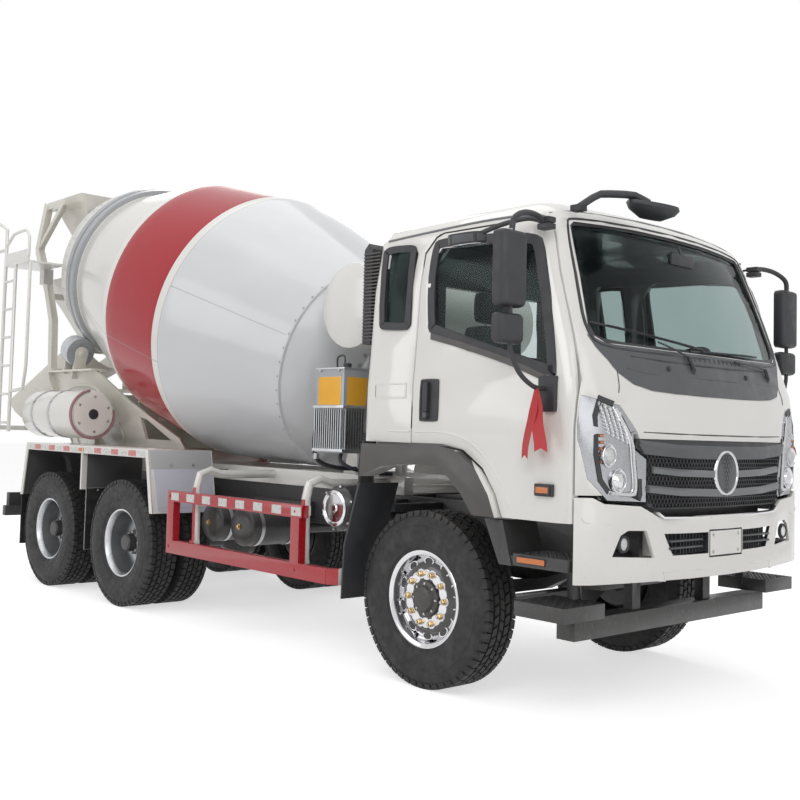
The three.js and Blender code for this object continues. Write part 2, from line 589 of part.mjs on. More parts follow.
function chargeHopper() {
  const wall = 12;
  const cone = cut(
    funnel([[3260, -5620, -5900, 250], [3420, -5640, -6060, 400], [3930, -5650, -6330, 600]]),
    funnel([[3259, -5620 - wall, -5900 + wall, 238], [3420, -5640 - wall, -6060 + wall, 388],
      [3931, -5650 - wall, -6330 + wall, 588]]));
  const spout = cut(
    sidePrism([[-5900, 3260], [-5640, 3300], [-5300, 3050], [-5300, 2900], [-5860, 3180]],
      -250, 250),
    sidePrism([[-5888, 3300], [-5620, 3320], [-5200, 3060], [-5200, 2900], [-5848, 3210]],
      -238, 238));
  const posts = Object.values(SIDES).map((s) => {
    const y = s * POST_HALF;
    const stations = [[-5900, PEDESTAL_TOP + GAP], [-5930, 2600], [-6080, 2950], [-6340, 3380],
      [-6150, 3860]];
    const legs = stations.slice(1).map(([x, z], i) => bar(
      [stations[i][0], y, i ? stations[i][1] - 12 : stations[i][1] + 12], [x, y, z], 70, 80));
    const foot = box(-5990, -5790, y - 60, y + 60, PEDESTAL_TOP + GAP, PEDESTAL_TOP + 25);
    const brace = bar([-6340, y, 3380], [-5790, y, 3800], 50, 50);
    const top = box(-6180, -5750, y - 25, y + 25, 3790, 3860);
    const arm = box(-6180, -6100, Math.min(y, s * 545), Math.max(y, s * 545), 3790, 3860);
    const low = box(-6070, -6010, Math.min(y, s * 498), Math.max(y, s * 498), 2820, 2880);
    return join(legs, foot, brace, top, arm, low);
  });
  return join(cone, spout, posts, dischargeGuide());
}

function dischargeGuide() {
  const wall = 12;
  const out = [[2300, CHUTE_X + 150, CHUTE_X - 150, 200], [2500, CHUTE_X + 175, CHUTE_X - 165,
    230], [2740, -5660, -6330, 430], [3050, -5560, -6420, 640]];
  const hollow = out.map(([z, front, rear, half]) => [z, front + 60, rear + wall, half - wall]);
  hollow[0] = [2299, CHUTE_X + 150 - wall, CHUTE_X - 150 + wall, 200 - wall];
  hollow[1] = [2500, CHUTE_X + 175 - wall, CHUTE_X - 165 + wall, 230 - wall];
  hollow[3][0] = 3051;
  return cut(funnel(out), funnel(hollow));
}

function ladder() {
  const tube = 19;
  const y = -1200;
  const [front, rear] = [-5830, -6080];
  const deck = 3110;
  const stiles = [rod([front, y, 1410], [front, y, deck + 10], tube, 8),
    pipe([[rear, y, 1410], [rear, y, 2600], [rear, y, 3480], [rear - 40, y, 3560],
      [rear - 330, y, 3600], [rear - 420, y, 3560], [rear - 430, y, 3300], [rear, y, 3290]],
    tube, 2)];
  const count = 6;
  const rungs = Array.from({ length: count }, (_, i) => rod([rear, y, 1500 + i * 290],
    [front, y, 1500 + i * 290], 14, 8));
  const platform = join(box(rear - 10, -5520, y - 10, -820, deck, deck + 20),
    box(rear - 10, -5520, y - 10, y + 10, deck, deck + 130));
  const rail = pipe([[rear, y, 3320], [-5900, y, 3430], [-5600, y, 3440], [-5530, y, 3380],
    [-5530, y, deck + 60]], 16, 2);
  const support = pipe([[-5530, y + 20, deck + 10], [-5530, y + 20, 1900],
    [-5560, y + 15, 1840], [front, y, 1820]], 18, 2);
  const stays = [join(box(-6060, -5800, y + 5, y + 45, 1425, 1470),
    box(PEDESTAL_REAR - GAP - 50, PEDESTAL_REAR - GAP - 10, y + 10, -560, 1425, 1470),
    box(PEDESTAL_REAR - GAP - 20, PEDESTAL_REAR - GAP, -620, -500, 1410, 1485)),
  box(-6000, -5900, -860, -POST_HALF - 35 - GAP, 2955, deck + 10)];
  return join(stiles, rungs, platform, rail, support, stays);
}

// ---------------------------------------------------------------- discharge chute
function troughSolid(head, tail, grow) {
  const segments = 10;
  const ring = (x, radius) => Array.from({ length: segments + 1 }, (_, i) => {
    const a = Math.PI * (0.97 + 1.06 * i / segments);
    return new THREE.Vector3(x, radius * Math.cos(a), radius * Math.sin(a) + CHUTE_RISE);
  });
  return wasm.Manifold.hull([...ring(head, CHUTE_HEAD_RADIUS + grow),
    ...ring(tail, CHUTE_TAIL_RADIUS + grow)].map((p) => p.toArray()));
}

// Chute parts are laid out straight back from the post, level, round X = Y = 0.
const swingOut = (solid) =>
  solid.rotate([0, 0, CHUTE_YAW]).translate([CHUTE_X, 0, TRUNNION_Z]);

function mainChute() {
  const over = 40;
  const hollow = troughSolid(CHUTE_HEAD + over, -CHUTE_TAIL - over, -CHUTE_WALL);
  const above = box(-CHUTE_TAIL - over, CHUTE_HEAD + over, -500, 500,
    CHUTE_RISE + 25, CHUTE_RISE + 500);
  const trough = cut(troughSolid(CHUTE_HEAD, -CHUTE_TAIL, 0), hollow, above);
  const half = CHUTE_HEAD_RADIUS + MOVE_GAP;
  const lugs = Object.values(SIDES).map((s) =>
    rod([0, s * (CHUTE_HEAD_RADIUS - 70), 0], [0, s * (half + 25), 0], 28, 12));
  return swingOut(join(trough, lugs).rotate([0, -CHUTE_DIP, 0]));
}

function chuteBracket() {
  const half = CHUTE_HEAD_RADIUS + MOVE_GAP;
  const hole = 28 + PIN_GAP;
  const forks = Object.values(SIDES).map((s) => cut(
    join(box(-60, 60, Math.min(s * half, s * (half + 20)), Math.max(s * half, s * (half + 20)),
      -330, 0), rod([0, s * half, 0], [0, s * (half + 20), 0], 60, 16)),
    rod([0, s * (half - 10), 0], [0, s * (half + 30), 0], hole, 16)));
  const yoke = box(-60, 60, -half - 15, half + 15, -330, -290);
  const pin = rod([0, 0, -640], [0, 0, -300], 45, 16);
  return swingOut(join(forks, yoke, pin));
}

function chutePost() {
  const top = TRUNNION_Z - 330 - MOVE_GAP;
  const low = top - 250;
  const sleeve = cut(rod([CHUTE_X, 0, low], [CHUTE_X, 0, top], 80, 20),
    rod([CHUTE_X, 0, low - 1], [CHUTE_X, 0, top + 1], 45 + PIN_GAP, 16));
  const arm = box(CHUTE_X + 60, PEDESTAL_REAR - GAP, -60, 60, low + 10, top - 40);
  const plate = box(PEDESTAL_REAR - GAP - 20, PEDESTAL_REAR - GAP, -300, 300, low - 60, top - 20);
  return join(sleeve, arm, plate);
}

// ---------------------------------------------------------------- cab
// Plan outline, from the rear left corner round the front to the rear right corner.
function planOutline(front, half, rear, rearCorner) {
  const bow = 4280;
  const nose = (y) => front - (y * y) / (2 * bow);
  const shoulder = half * 0.84;
  const points = [];
  for (const y of [0, half * 0.3, half * 0.6]) points.push([nose(y), y]);
  const start = new THREE.Vector2(nose(shoulder), shoulder);
  const corner = new THREE.Vector2(nose(half) + 12, half);
  const end = new THREE.Vector2(nose(half) - 90, half);
  const curve = new THREE.QuadraticBezierCurve(start, corner, end);
  points.push(...curve.getPoints(4).map((p) => [p.x, p.y]));
  points.push([rear + rearCorner, half]);
  if (rearCorner > 0) {
    points.push([rear + rearCorner * 0.3, half - rearCorner * 0.3]);
    points.push([rear, half - rearCorner]);
  }
  const left = points;
  const right = points.slice(1).map(([x, y]) => [x, -y]).reverse();
  return [...left, ...right];
}

// Height, front middle, half width, rear face.
const CAB_LEVELS = [
  [1060, 1335, 1200, CAB_REAR], [1560, 1340, 1200, CAB_REAR], [1800, 1310, 1196, CAB_REAR],
  [2030, 1235, 1176, CAB_REAR], [2400, 1105, 1150, CAB_REAR], [2712, 985, 1092, CAB_REAR],
  [2780, 935, 1050, CAB_REAR + 12], [2830, 870, 970, CAB_REAR + 50],
  [2860, 780, 850, CAB_REAR + 130], [2878, 560, 620, CAB_REAR + 330],
];

function cabLevel(z) {
  const upper = Math.max(1, CAB_LEVELS.findIndex(([height]) => height >= z));
  const [low, high] = [CAB_LEVELS[upper - 1], CAB_LEVELS[upper]];
  const share = (z - low[0]) / (high[0] - low[0]);
  return low.map((value, i) => value + (high[i] - value) * share);
}

function cabBody(inset, floor = 1060, roofDrop = inset) {
  const heights = CAB_LEVELS.map(([z]) => z).filter((z) => z > floor + 1);
  return loft([floor, ...heights].map((z) => {
    const [, front, half, rear] = cabLevel(z);
    const level = z > 2700 ? z - roofDrop : z;
    return planOutline(front - inset, half - inset, rear + inset, 80)
      .map(([x, y]) => new THREE.Vector3(x, y, level));
  }));
}

// Line of the front wheel arch, seen from the side, pushed out by grow.
function archLine(grow) {
  return [[-900, ARCH_TOP + grow], [235, ARCH_TOP + grow], [395 + grow * 0.5, 1430 + grow],
    [548 + grow * 0.8, 1332 + grow * 0.6], [645 + grow, 1195 + grow * 0.2],
    [695 + grow, DOOR_BOTTOM], [695 + grow, 900], [-900, 900]];
}

const archTool = (grow) => sidePrism(archLine(grow), -1500, 1500);

function doorOutline(inset) {
  return [[DOOR_REAR + inset, 1200], [DOOR_REAR + inset, 2600 - inset],
    [DOOR_REAR + 75 + inset, DOOR_TOP - 20 - inset], [DOOR_REAR + 130 + inset, DOOR_TOP - inset],
    [790 - inset, DOOR_TOP - inset], [862 - inset, DOOR_TOP - 45 - inset],
    [905 - inset, 2620 - inset], [1045 - inset, 2170], [1120 - inset, 1880],
    [DOOR_FRONT - inset, 1740], [DOOR_FRONT - inset, DOOR_BOTTOM + inset],
    [600, DOOR_BOTTOM + inset], [600, 1200]];
}

function doorWindow(inset) {
  return [[65 + inset, 2135 + inset], [65 + inset, 2560], [110 + inset, 2620 - inset],
    [780 - inset, 2600 - inset], [835 - inset, 2560 - inset], [985 - inset, 1960],
    [985 - inset, 1900 + inset], [900, 1885 + inset], [400, 1990 + inset]];
}

const outboard = (side, reach) => (side === 'left' ? [reach, 1400] : [-1400, -reach]);

// All that lies outboard of the line on which the doors' front edges stand, moved out by inset.
function doorSide(side, inset) {
  const line = [[DOOR_SIDE, 900], [DOOR_SIDE - 3, 1800], [1100, 2050], [1072, 2400], [1005, 2740]];
  const points = [...line.map(([y, z]) => [y + inset, z]), [1400, 2740], [1400, 900]];
  return frontPrism(points.map(([y, z]) => [y * SIDES[side], z]), -600, 1400);
}

function door(side) {
  const [y0, y1] = outboard(side, 900);
  const skin = cut(cabBody(0), cabBody(DOOR_WALL));
  const panel = skin.intersect(sidePrism(doorOutline(0), y0, y1)).intersect(doorSide(side, 0));
  return cut(panel, archTool(0), sidePrism(doorWindow(0), y0, y1));
}

function doorGlass(side) {
  const [y0, y1] = outboard(side, 900);
  const pane = cut(cabBody(12), cabBody(12 + GLASS));
  return pane.intersect(sidePrism(doorWindow(GAP / 2), y0, y1));
}

const GRILLE = [[790, 1517], [800, 1470], [708, 1415], [706, PANEL_BOTTOM + 20],
  [640, PANEL_BOTTOM]];
const LAMP = [[1166, 1742], [892, 1690], [790, 1560], [716, 1414], [712, 1180], [985, 1190],
  [1110, 1300], [1160, 1500]];
const LAMP_REAR = 1155;        // the headlights reach this far back

function windshieldOutline(inset) {
  const half = [[1000 - inset, 2072 + inset], [908 - inset, 2690], [870 - inset, 2718 - inset],
    [400, 2732 - inset]];
  const low = [[400, 2012 + inset], [900 - inset, 2024 + inset]];
  return mirrorPoints([...low.slice(0, 1), low[1], ...half]);
}

// Room in the jamb for the door's front inner corner as it swings round its hinge.
function hingePocket(side) {
  const y = SIDES[side] * HINGE_Y;
  const reach = Math.hypot(DOOR_FRONT - HINGE_X, HINGE_Y - DOOR_SIDE) + MOVE_GAP;
  const sweep = rod([HINGE_X, y, DOOR_BOTTOM - DOOR_GAP], [HINGE_X, y, HINGE_TOP], reach, 24);
  return sweep.intersect(box(0, DOOR_FRONT + DOOR_GAP, -1400, 1400, 0, HINGE_TOP));
}

function cabShell() {
  const cavity = cut(cabBody(CAB_WALL, 1150), archTool(CAB_WALL));
  const shell = cut(cabBody(0), cavity, archTool(0));
  const doors = Object.keys(SIDES).map((side) => {
    const [y0, y1] = outboard(side, 900);
    const skin = cut(cabBody(-20), cabBody(DOOR_WALL + DOOR_GAP));
    const recess = skin.intersect(sidePrism(doorOutline(-DOOR_GAP), y0, y1))
      .intersect(doorSide(side, -DOOR_GAP));
    return join(recess, hingePocket(side),
      cut(sidePrism(doorOutline(70), y0, y1), archTool(CAB_WALL)));
  });
  const skirt = box(-2000, 2000, -1400, 1400, 900, PANEL_BOTTOM - 10);
  const windshield = frontPrism(windshieldOutline(0), 700, 1500);
  const quarter = sidePrism([[-350, 2180], [-340, 2640], [-300, 2665], [-110, 2645], [-85, 2610],
    [-110, 2190], [-150, 2155], [-320, 2155]], -1400, 1400);
  const rearWindow = frontPrism([[-520, 2080], [520, 2080], [520, 2500], [-520, 2500]], -700, -300);
  const seam = box(1100, 1500, -730, 730, PANEL_BOTTOM, 1425);
  const frontParts = [frontPrism(mirrorPoints(GRILLE), 1100, 1500), seam,
    frontPrism(LAMP, LAMP_REAR - GAP, 1500),
    frontPrism(LAMP.map(([y, z]) => [-y, z]), LAMP_REAR - GAP, 1500)];
  const wingGap = box(1100, 1500, -1400, 1400, 900, 1218);
  return join(cut(shell, doors, skirt, windshield, quarter, rearWindow, frontParts, wingGap),
    archLip('right'), archLip('left'));
}

// Trim round the wheel arch, under the door.
function archLip(side) {
  const inner = [[-431, 1236], [-228, 1307], [68, 1338], [271, 1318], [430, 1179], [516, 1069]];
  const outer = [[CAB_REAR + 60, ARCH_TOP - 14], [235, ARCH_TOP - 14], [385, 1418],
    [535, 1322], [632, 1186], [680, 1069]];
  const band = sidePrism([...outer, ...inner.reverse()], -1245, -1100);
  const root = sidePrism([[CAB_REAR + 80, ARCH_TOP - 30], [CAB_REAR + 80, ARCH_TOP + 10],
    [235, ARCH_TOP + 10], [395, 1440], [380, 1400], [235, ARCH_TOP - 30]], -1140, -1100);
  return onSide(side, join(band, root));
}

function windshieldPane() {
  const pane = cut(cabBody(14), cabBody(14 + GLASS));
  return pane.intersect(frontPrism(windshieldOutline(GAP), 700, 1500));
}

const shrink = (points, by) => {
  const cy = points.reduce((sum, [y]) => sum + y, 0) / points.length;
  const cz = points.reduce((sum, [, z]) => sum + z, 0) / points.length;
  return points.map(([y, z]) => [y - Math.sign(y - cy) * by, z - Math.sign(z - cz) * by]);
};

function grille() {
  const skin = cut(cabBody(2), cabBody(CAB_WALL - 5));
  const outline = mirrorPoints([[788, 1515], [798, 1471], [705, 1417], [703, PANEL_BOTTOM + 21],
    [638, PANEL_BOTTOM + 1]]);
  return skin.intersect(frontPrism(outline, 1100, 1500));
}

function headlight(side) {
  const skin = cut(cabBody(1), cabBody(CAB_WALL - 5));
  const outline = shrink(LAMP, 2).map(([y, z]) => [y * SIDES[side], z]);
  const grilleEdge = frontPrism([[0, 1400], [0, 1540], [812, 1540], [808, 1462], [712, 1405]]
    .map(([y, z]) => [y * SIDES[side], z]), 1000, 1500);
  return cut(skin.intersect(frontPrism(outline, LAMP_REAR, 1500)), grilleEdge);
}

function dashboard() {
  const top = sidePrism([[880, 1500], [1190, 1500], [1190, 1930], [1080, 1960], [900, 1900],
    [860, 1700]], -1050, 1050);
  const column = rod([900, SEAT_Y, 1650], [720, SEAT_Y, 1850], 35, 10);
  const ring = turn([[-15, 215], [15, 215], [15, 185], [-15, 185], [-15, 215]],
    [700, SEAT_Y, 1872], [-0.67, 0, 0.74], 20);
  const spokes = bar([700, SEAT_Y - 195, 1872], [700, SEAT_Y + 195, 1872], 20, 20);
  const hub = rod([720, SEAT_Y, 1850], [690, SEAT_Y, 1883], 60, 10);
  const room = cut(cabBody(CAB_WALL + 8), frontPrism(windshieldOutline(-30), 1000, 1500));
  return join(top.intersect(room), column, ring, spokes, hub);
}

function seat(y) {
  const cushion = sidePrism([[40, 1530], [520, 1530], [560, 1600], [540, 1680], [60, 1660]],
    y - 250, y + 250);
  const back = sidePrism([[40, 1560], [130, 1600], [0, 2250], [-90, 2230]], y - 240, y + 240);
  const head = sidePrism([[-20, 2230], [-90, 2230], [-120, 2420], [-50, 2430]], y - 130, y + 130);
  const base = box(80, 480, y - 200, y + 200, ARCH_TOP + CAB_WALL + GAP, 1540);
  return join(cushion, back, head, base);
}

function frontMirror() {
  const bowl = turn([[-60, 0], [-60, 60], [-20, 130], [10, 150], [30, 140], [30, 0]],
    [1180, -540, 2800], [0.25, 0, 1], 16);
  const arm = pipe([[930, -870, 2795], [1000, -780, 2870], [1120, -640, 2870],
    [1170, -560, 2830]], 22, 3);
  const foot = box(890, 960, -900, -840, 2770, 2805);
  return join(bowl, arm, foot);
}

function snorkel() {
  const duct = sidePrism([[-640, 2080], [-560, 2080], [-560, 2700], [-600, 2740], [-640, 2700]],
    -1060, -800);
  const stay = box(-565, CAB_REAR - GAP, -980, -900, 2300, 2350);
  return join(duct, stay);
}

// ---------------------------------------------------------------- doors' mirrors
function doorMirrors() {
  const main = box(915, 985, -1570, -1375, 2180, 2580);
  const wide = box(915, 985, -1570, -1375, 1985, 2145);
  const arm = pipe([[985, -1205, 1800], [985, -1300, 1790], [970, -1470, 1850],
    [965, -1470, 2200], [965, -1470, 2600], [930, -1350, 2680], [880, -1130, 2672]], 16, 3);
  const foot = box(930, 1040, -1230, -1200, 1670, 1830);
  return { main, wide, arm, foot };
}

function mirrors(side) {
  const { main, wide, arm, foot } = doorMirrors();
  const upperFoot = box(845, 905, -1150, -1110, 2640, 2690);
  const kerb = box(400, 640, -1420, -1270, 2560, 2640);
  const kerbArm = pipe([[620, -1340, 2605], [760, -1360, 2690], [935, -1350, 2684]], 14, 3);
  const parts = side === 'right' ? [main, wide, arm, foot, upperFoot, kerb, kerbArm]
    : [main, wide, arm, foot, upperFoot];
  const whole = join(parts);
  return onSide(side, cut(whole, cabBody(-GAP)));
}

// ---------------------------------------------------------------- steering and wheels
function knuckle(side) {
  const y = -KINGPIN_TRACK / 2;
  const top = box(-45, 45, y - 60, y + 45, KING_HIGH + PIN_GAP, 620);
  const low = box(-45, 45, y - 60, y + 45, 432, KING_LOW - PIN_GAP);
  const plate = box(-60, 60, y - 80, y - 52, 432, 620);
  const spindle = rod([0, y - 70, TYRE_RADIUS], [0, y - 215, TYRE_RADIUS], HUB_RADIUS, 16);
  const arm = box(-STEER_ARM - 26, -40, y - 16, y + 16, 452, 473);
  return onSide(side, join(top, low, plate, spindle, arm));
}

function tieRod() {
  const y = KINGPIN_TRACK / 2;
  const beam = rod([-STEER_ARM, -y, 420], [-STEER_ARM, y, 420], 18, 10);
  const studs = Object.values(SIDES).map((s) =>
    rod([-STEER_ARM, s * y, 420], [-STEER_ARM, s * y, 452 - GAP], 16, 10));
  return join(beam, studs);
}

// Tyre section as [across, radius], closed.
function tyre(centre) {
  const w = TYRE_WIDTH / 2;
  const profile = [[-w * 0.72, RIM_RADIUS - 30], [-w * 0.92, RIM_RADIUS + 40],
    [-w, RIM_RADIUS + 110], [-w * 0.86, TYRE_RADIUS - 22], [-w * 0.72, TYRE_RADIUS],
    [w * 0.72, TYRE_RADIUS], [w * 0.86, TYRE_RADIUS - 22], [w, RIM_RADIUS + 110],
    [w * 0.92, RIM_RADIUS + 40], [w * 0.72, RIM_RADIUS - 30], [-w * 0.72, RIM_RADIUS - 30]];
  return turn(profile, centre, [0, 1, 0], WHEEL_SEGMENTS);
}

// Wheel of the front axle; the outside faces -Y, the hub bore is open inwards.
function frontRim(centre) {
  const w = RIM_WIDTH / 2;
  const profile = [[w, RIM_RADIUS - 31], [w, RIM_RADIUS - 60], [-w * 0.2, RIM_RADIUS - 72],
    [-w * 0.55, 190], [-w * 0.35, 120], [w * 0.35, 112], [w * 0.35, HUB_RADIUS + PIN_GAP],
    [-w * 0.95, HUB_RADIUS + PIN_GAP], [-w * 0.95, 0], [-w * 1.25, 0], [-w * 1.25, 70],
    [-w * 0.9, 95], [-w * 0.8, 185], [-w * 0.5, RIM_RADIUS - 75], [-w, RIM_RADIUS - 40],
    [-w, RIM_RADIUS - 31], [w, RIM_RADIUS - 31]];
  return turn(profile, centre, [0, 1, 0], WHEEL_SEGMENTS);
}

function frontWheel(side) {
  const y = SIDES.right * FRONT_TRACK / 2;
  const centre = [AXLES.front, y, TYRE_RADIUS];
  return { rim: onSide(side, frontRim(centre)), tyre: onSide(side, tyre(centre)) };
}

// Twin wheels: two tyres on two rims with one hub and brake drum; the outside faces -Y.
function dualWheel(x, side) {
  const middle = [x, -DUAL_TRACK / 2, TYRE_RADIUS];
  const s = DUAL_SPACING / 2;
  const w = RIM_WIDTH / 2;
  const bore = HUB_RADIUS + PIN_GAP + 5;
  const r = RIM_RADIUS - 20;
  const profile = [[s + w, r], [s + w, r - 35], [s + w * 0.2, r - 55], [60, 215],
    [s + w + 10, 205], [s + w + 10, bore], [-s - 40, bore], [-s - 40, 0], [-s - 75, 0],
    [-s - 75, 70], [-s, 95], [-30, 110], [-25, r - 60], [-s - w * 0.8, r - 50],
    [-s - w, r - 30], [-s - w, r]];
  const wheel = turn([...profile, profile[0]], middle, [0, 1, 0], WHEEL_SEGMENTS);
  const tyres = [-s, s].map((dy) => tyre([x, -DUAL_TRACK / 2 + dy, TYRE_RADIUS]));
  return onSide(side, join(wheel, tyres));
}

// ---------------------------------------------------------------- assembly
const groups = {};
for (const name of ['chassis', 'drum', 'chute', 'cab', 'doors', 'steering', 'wheels']) {
  groups[name] = new THREE.Group();
  truck.add(groups[name]);
}

const { chassis } = groups;
node(chassis, 'chassis_frame', chassisFrame(), 'black');
node(chassis, 'sub_frame', subFrame(), 'white');
node(chassis, 'bumper', bumper(), 'white');
node(chassis, 'engine_block', engineBlock(), 'black');
node(chassis, 'front_axle', frontAxle(), 'black');
node(chassis, 'rear_axles', rearAxles(), 'black');
node(chassis, 'fuel_tank', fuelTank(), 'steel');
node(chassis, 'air_tanks', airTanks(), 'black');
node(chassis, 'air_cleaner', airCleaner(), 'black');
node(chassis, 'oil_cooler', oilCooler(), 'grey');
node(chassis, 'rear_bumper', rearBumper(), 'black');
node(chassis, 'front_pedestal', frontPedestal(), 'white');
node(chassis, 'rear_pedestal', rearPedestal(), 'white');
node(chassis, 'water_tank', waterTank(), 'white');
node(chassis, 'additive_tank', additiveTank(), 'white');
node(chassis, 'charge_hopper', chargeHopper(), 'white');
node(chassis, 'ladder', ladder(), 'white');
node(chassis, 'chute_post', chutePost(), 'white');
for (const side of Object.keys(SIDES)) {
  node(chassis, `side_guard_${side}`, onSide(side, sideGuard()), 'red');
  node(chassis, `rear_fender_${side}`, onSide(side, rearFender()), 'white');
  node(chassis, `front_mudguard_${side}`, onSide(side, frontMudguard()), 'plastic');
  node(chassis, `steps_${side}`, onSide(side, steps()), 'black');
  node(groups.drum, `drum_roller_${side}`, roller(side).solid, 'steel');
  node(groups.cab, `headlight_${side}`, headlight(side), 'glass');
  node(groups.doors, `door_${side}`, door(side), 'white');
  node(groups.doors, `door_glass_${side}`, doorGlass(side), 'glass');
  node(groups.doors, `mirrors_${side}`, mirrors(side), 'black');
  node(groups.steering, `knuckle_${side}`, knuckle(side), 'black');
  const front = frontWheel(side);
  node(groups.wheels, `front_wheel_${side}`, front.rim, 'chrome');
  node(groups.wheels, `front_tyre_${side}`, front.tyre, 'rubber');
  node(groups.wheels, `mid_wheels_${side}`, dualWheel(AXLES.mid, side), 'rubber');
  node(groups.wheels, `rear_wheels_${side}`, dualWheel(AXLES.rear, side), 'rubber');
}
node(groups.drum, 'drum', drum(), 'drum');
node(groups.chute, 'chute_bracket', chuteBracket(), 'white');
node(groups.chute, 'main_chute', mainChute(), 'white');
node(groups.cab, 'cab_shell', cabShell(), 'white');
node(groups.cab, 'windshield', windshieldPane(), 'glass');
node(groups.cab, 'grille', grille(), 'plastic');
node(groups.cab, 'dashboard', dashboard(), 'plastic');
node(groups.cab, 'seat_driver', seat(SEAT_Y), 'seat');
node(groups.cab, 'seat_passenger', seat(-SEAT_Y), 'seat');
node(groups.cab, 'front_mirror', frontMirror(), 'black');
node(groups.cab, 'intake_snorkel', snorkel(), 'grey');
node(groups.steering, 'tie_rod', tieRod(), 'steel');

const middle = new THREE.Box3().setFromObject(truck).getCenter(new THREE.Vector3());
truck.position.set(-middle.x, -middle.y, 0);

export default truck;
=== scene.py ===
import json
import math
import random

import bmesh
import bpy
from mathutils import Matrix, Vector
from mathutils.bvhtree import BVHTree


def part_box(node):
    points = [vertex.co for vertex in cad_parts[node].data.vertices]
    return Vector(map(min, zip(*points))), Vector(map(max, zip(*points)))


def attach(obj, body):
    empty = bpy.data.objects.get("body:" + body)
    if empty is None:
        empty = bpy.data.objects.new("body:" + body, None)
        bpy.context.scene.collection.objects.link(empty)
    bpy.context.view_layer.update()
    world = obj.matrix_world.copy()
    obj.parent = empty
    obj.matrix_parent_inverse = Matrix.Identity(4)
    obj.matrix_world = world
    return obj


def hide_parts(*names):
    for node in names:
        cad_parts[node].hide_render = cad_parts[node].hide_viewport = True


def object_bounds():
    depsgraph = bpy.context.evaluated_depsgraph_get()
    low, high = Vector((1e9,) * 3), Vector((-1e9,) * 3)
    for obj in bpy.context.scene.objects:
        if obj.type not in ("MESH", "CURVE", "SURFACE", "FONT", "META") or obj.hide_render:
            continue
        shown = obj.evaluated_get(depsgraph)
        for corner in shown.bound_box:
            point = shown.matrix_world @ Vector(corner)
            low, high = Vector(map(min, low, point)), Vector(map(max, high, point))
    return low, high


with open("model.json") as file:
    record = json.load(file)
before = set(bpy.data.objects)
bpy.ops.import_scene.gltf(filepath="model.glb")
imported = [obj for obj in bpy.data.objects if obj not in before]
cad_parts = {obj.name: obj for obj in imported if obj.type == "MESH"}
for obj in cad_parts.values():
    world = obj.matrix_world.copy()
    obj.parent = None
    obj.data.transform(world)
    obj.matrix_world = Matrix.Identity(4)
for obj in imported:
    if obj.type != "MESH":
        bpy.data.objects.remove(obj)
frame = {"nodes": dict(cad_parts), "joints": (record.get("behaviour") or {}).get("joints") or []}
CAD_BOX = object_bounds()
NODES = frame["nodes"]
JOINTS = {joint["name"]: joint for joint in frame["joints"]}
SIDES = {"right": -1, "left": 1}
X, Y, Z = Vector((1, 0, 0)), Vector((0, 1, 0)), Vector((0, 0, 1))
FRONT_AXLE = JOINTS["steer_right"]["pos_m"][0]


def at(x, y, z):
    """A point given from the middle of the front axle, on the ground."""
    return Vector((x + FRONT_AXLE, y, z))


def middle(node):
    low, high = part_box(node)
    return (low + high) / 2


# ---------------------------------------------------------------- camera
def camera():
    """The camera's place, aim and lens, level with a person's chest beside the right headlight."""
    yaw, pitch, roll = (math.radians(a) for a in (139.166, 3.202, 1.617))
    look = Vector((math.cos(yaw) * math.cos(pitch), math.sin(yaw) * math.cos(pitch),
                   math.sin(pitch)))
    right = Vector((math.sin(yaw), -math.cos(yaw), 0))
    up = right.cross(look)
    turned = math.cos(roll) * right + math.sin(roll) * up
    up = -math.sin(roll) * right + math.cos(roll) * up
    data = bpy.data.cameras.new("camera")
    data.lens, data.sensor_width = 47.44, 36
    data.shift_x, data.shift_y = 0.068, -0.0363
    made = bpy.data.objects.new("camera", data)
    made.matrix_world = Matrix((turned, up, -look)).transposed().to_4x4()
    made.location = at(4.484, -5.624, 1.520)
    bpy.context.scene.collection.objects.link(made)
    bpy.context.scene.camera = made


camera()


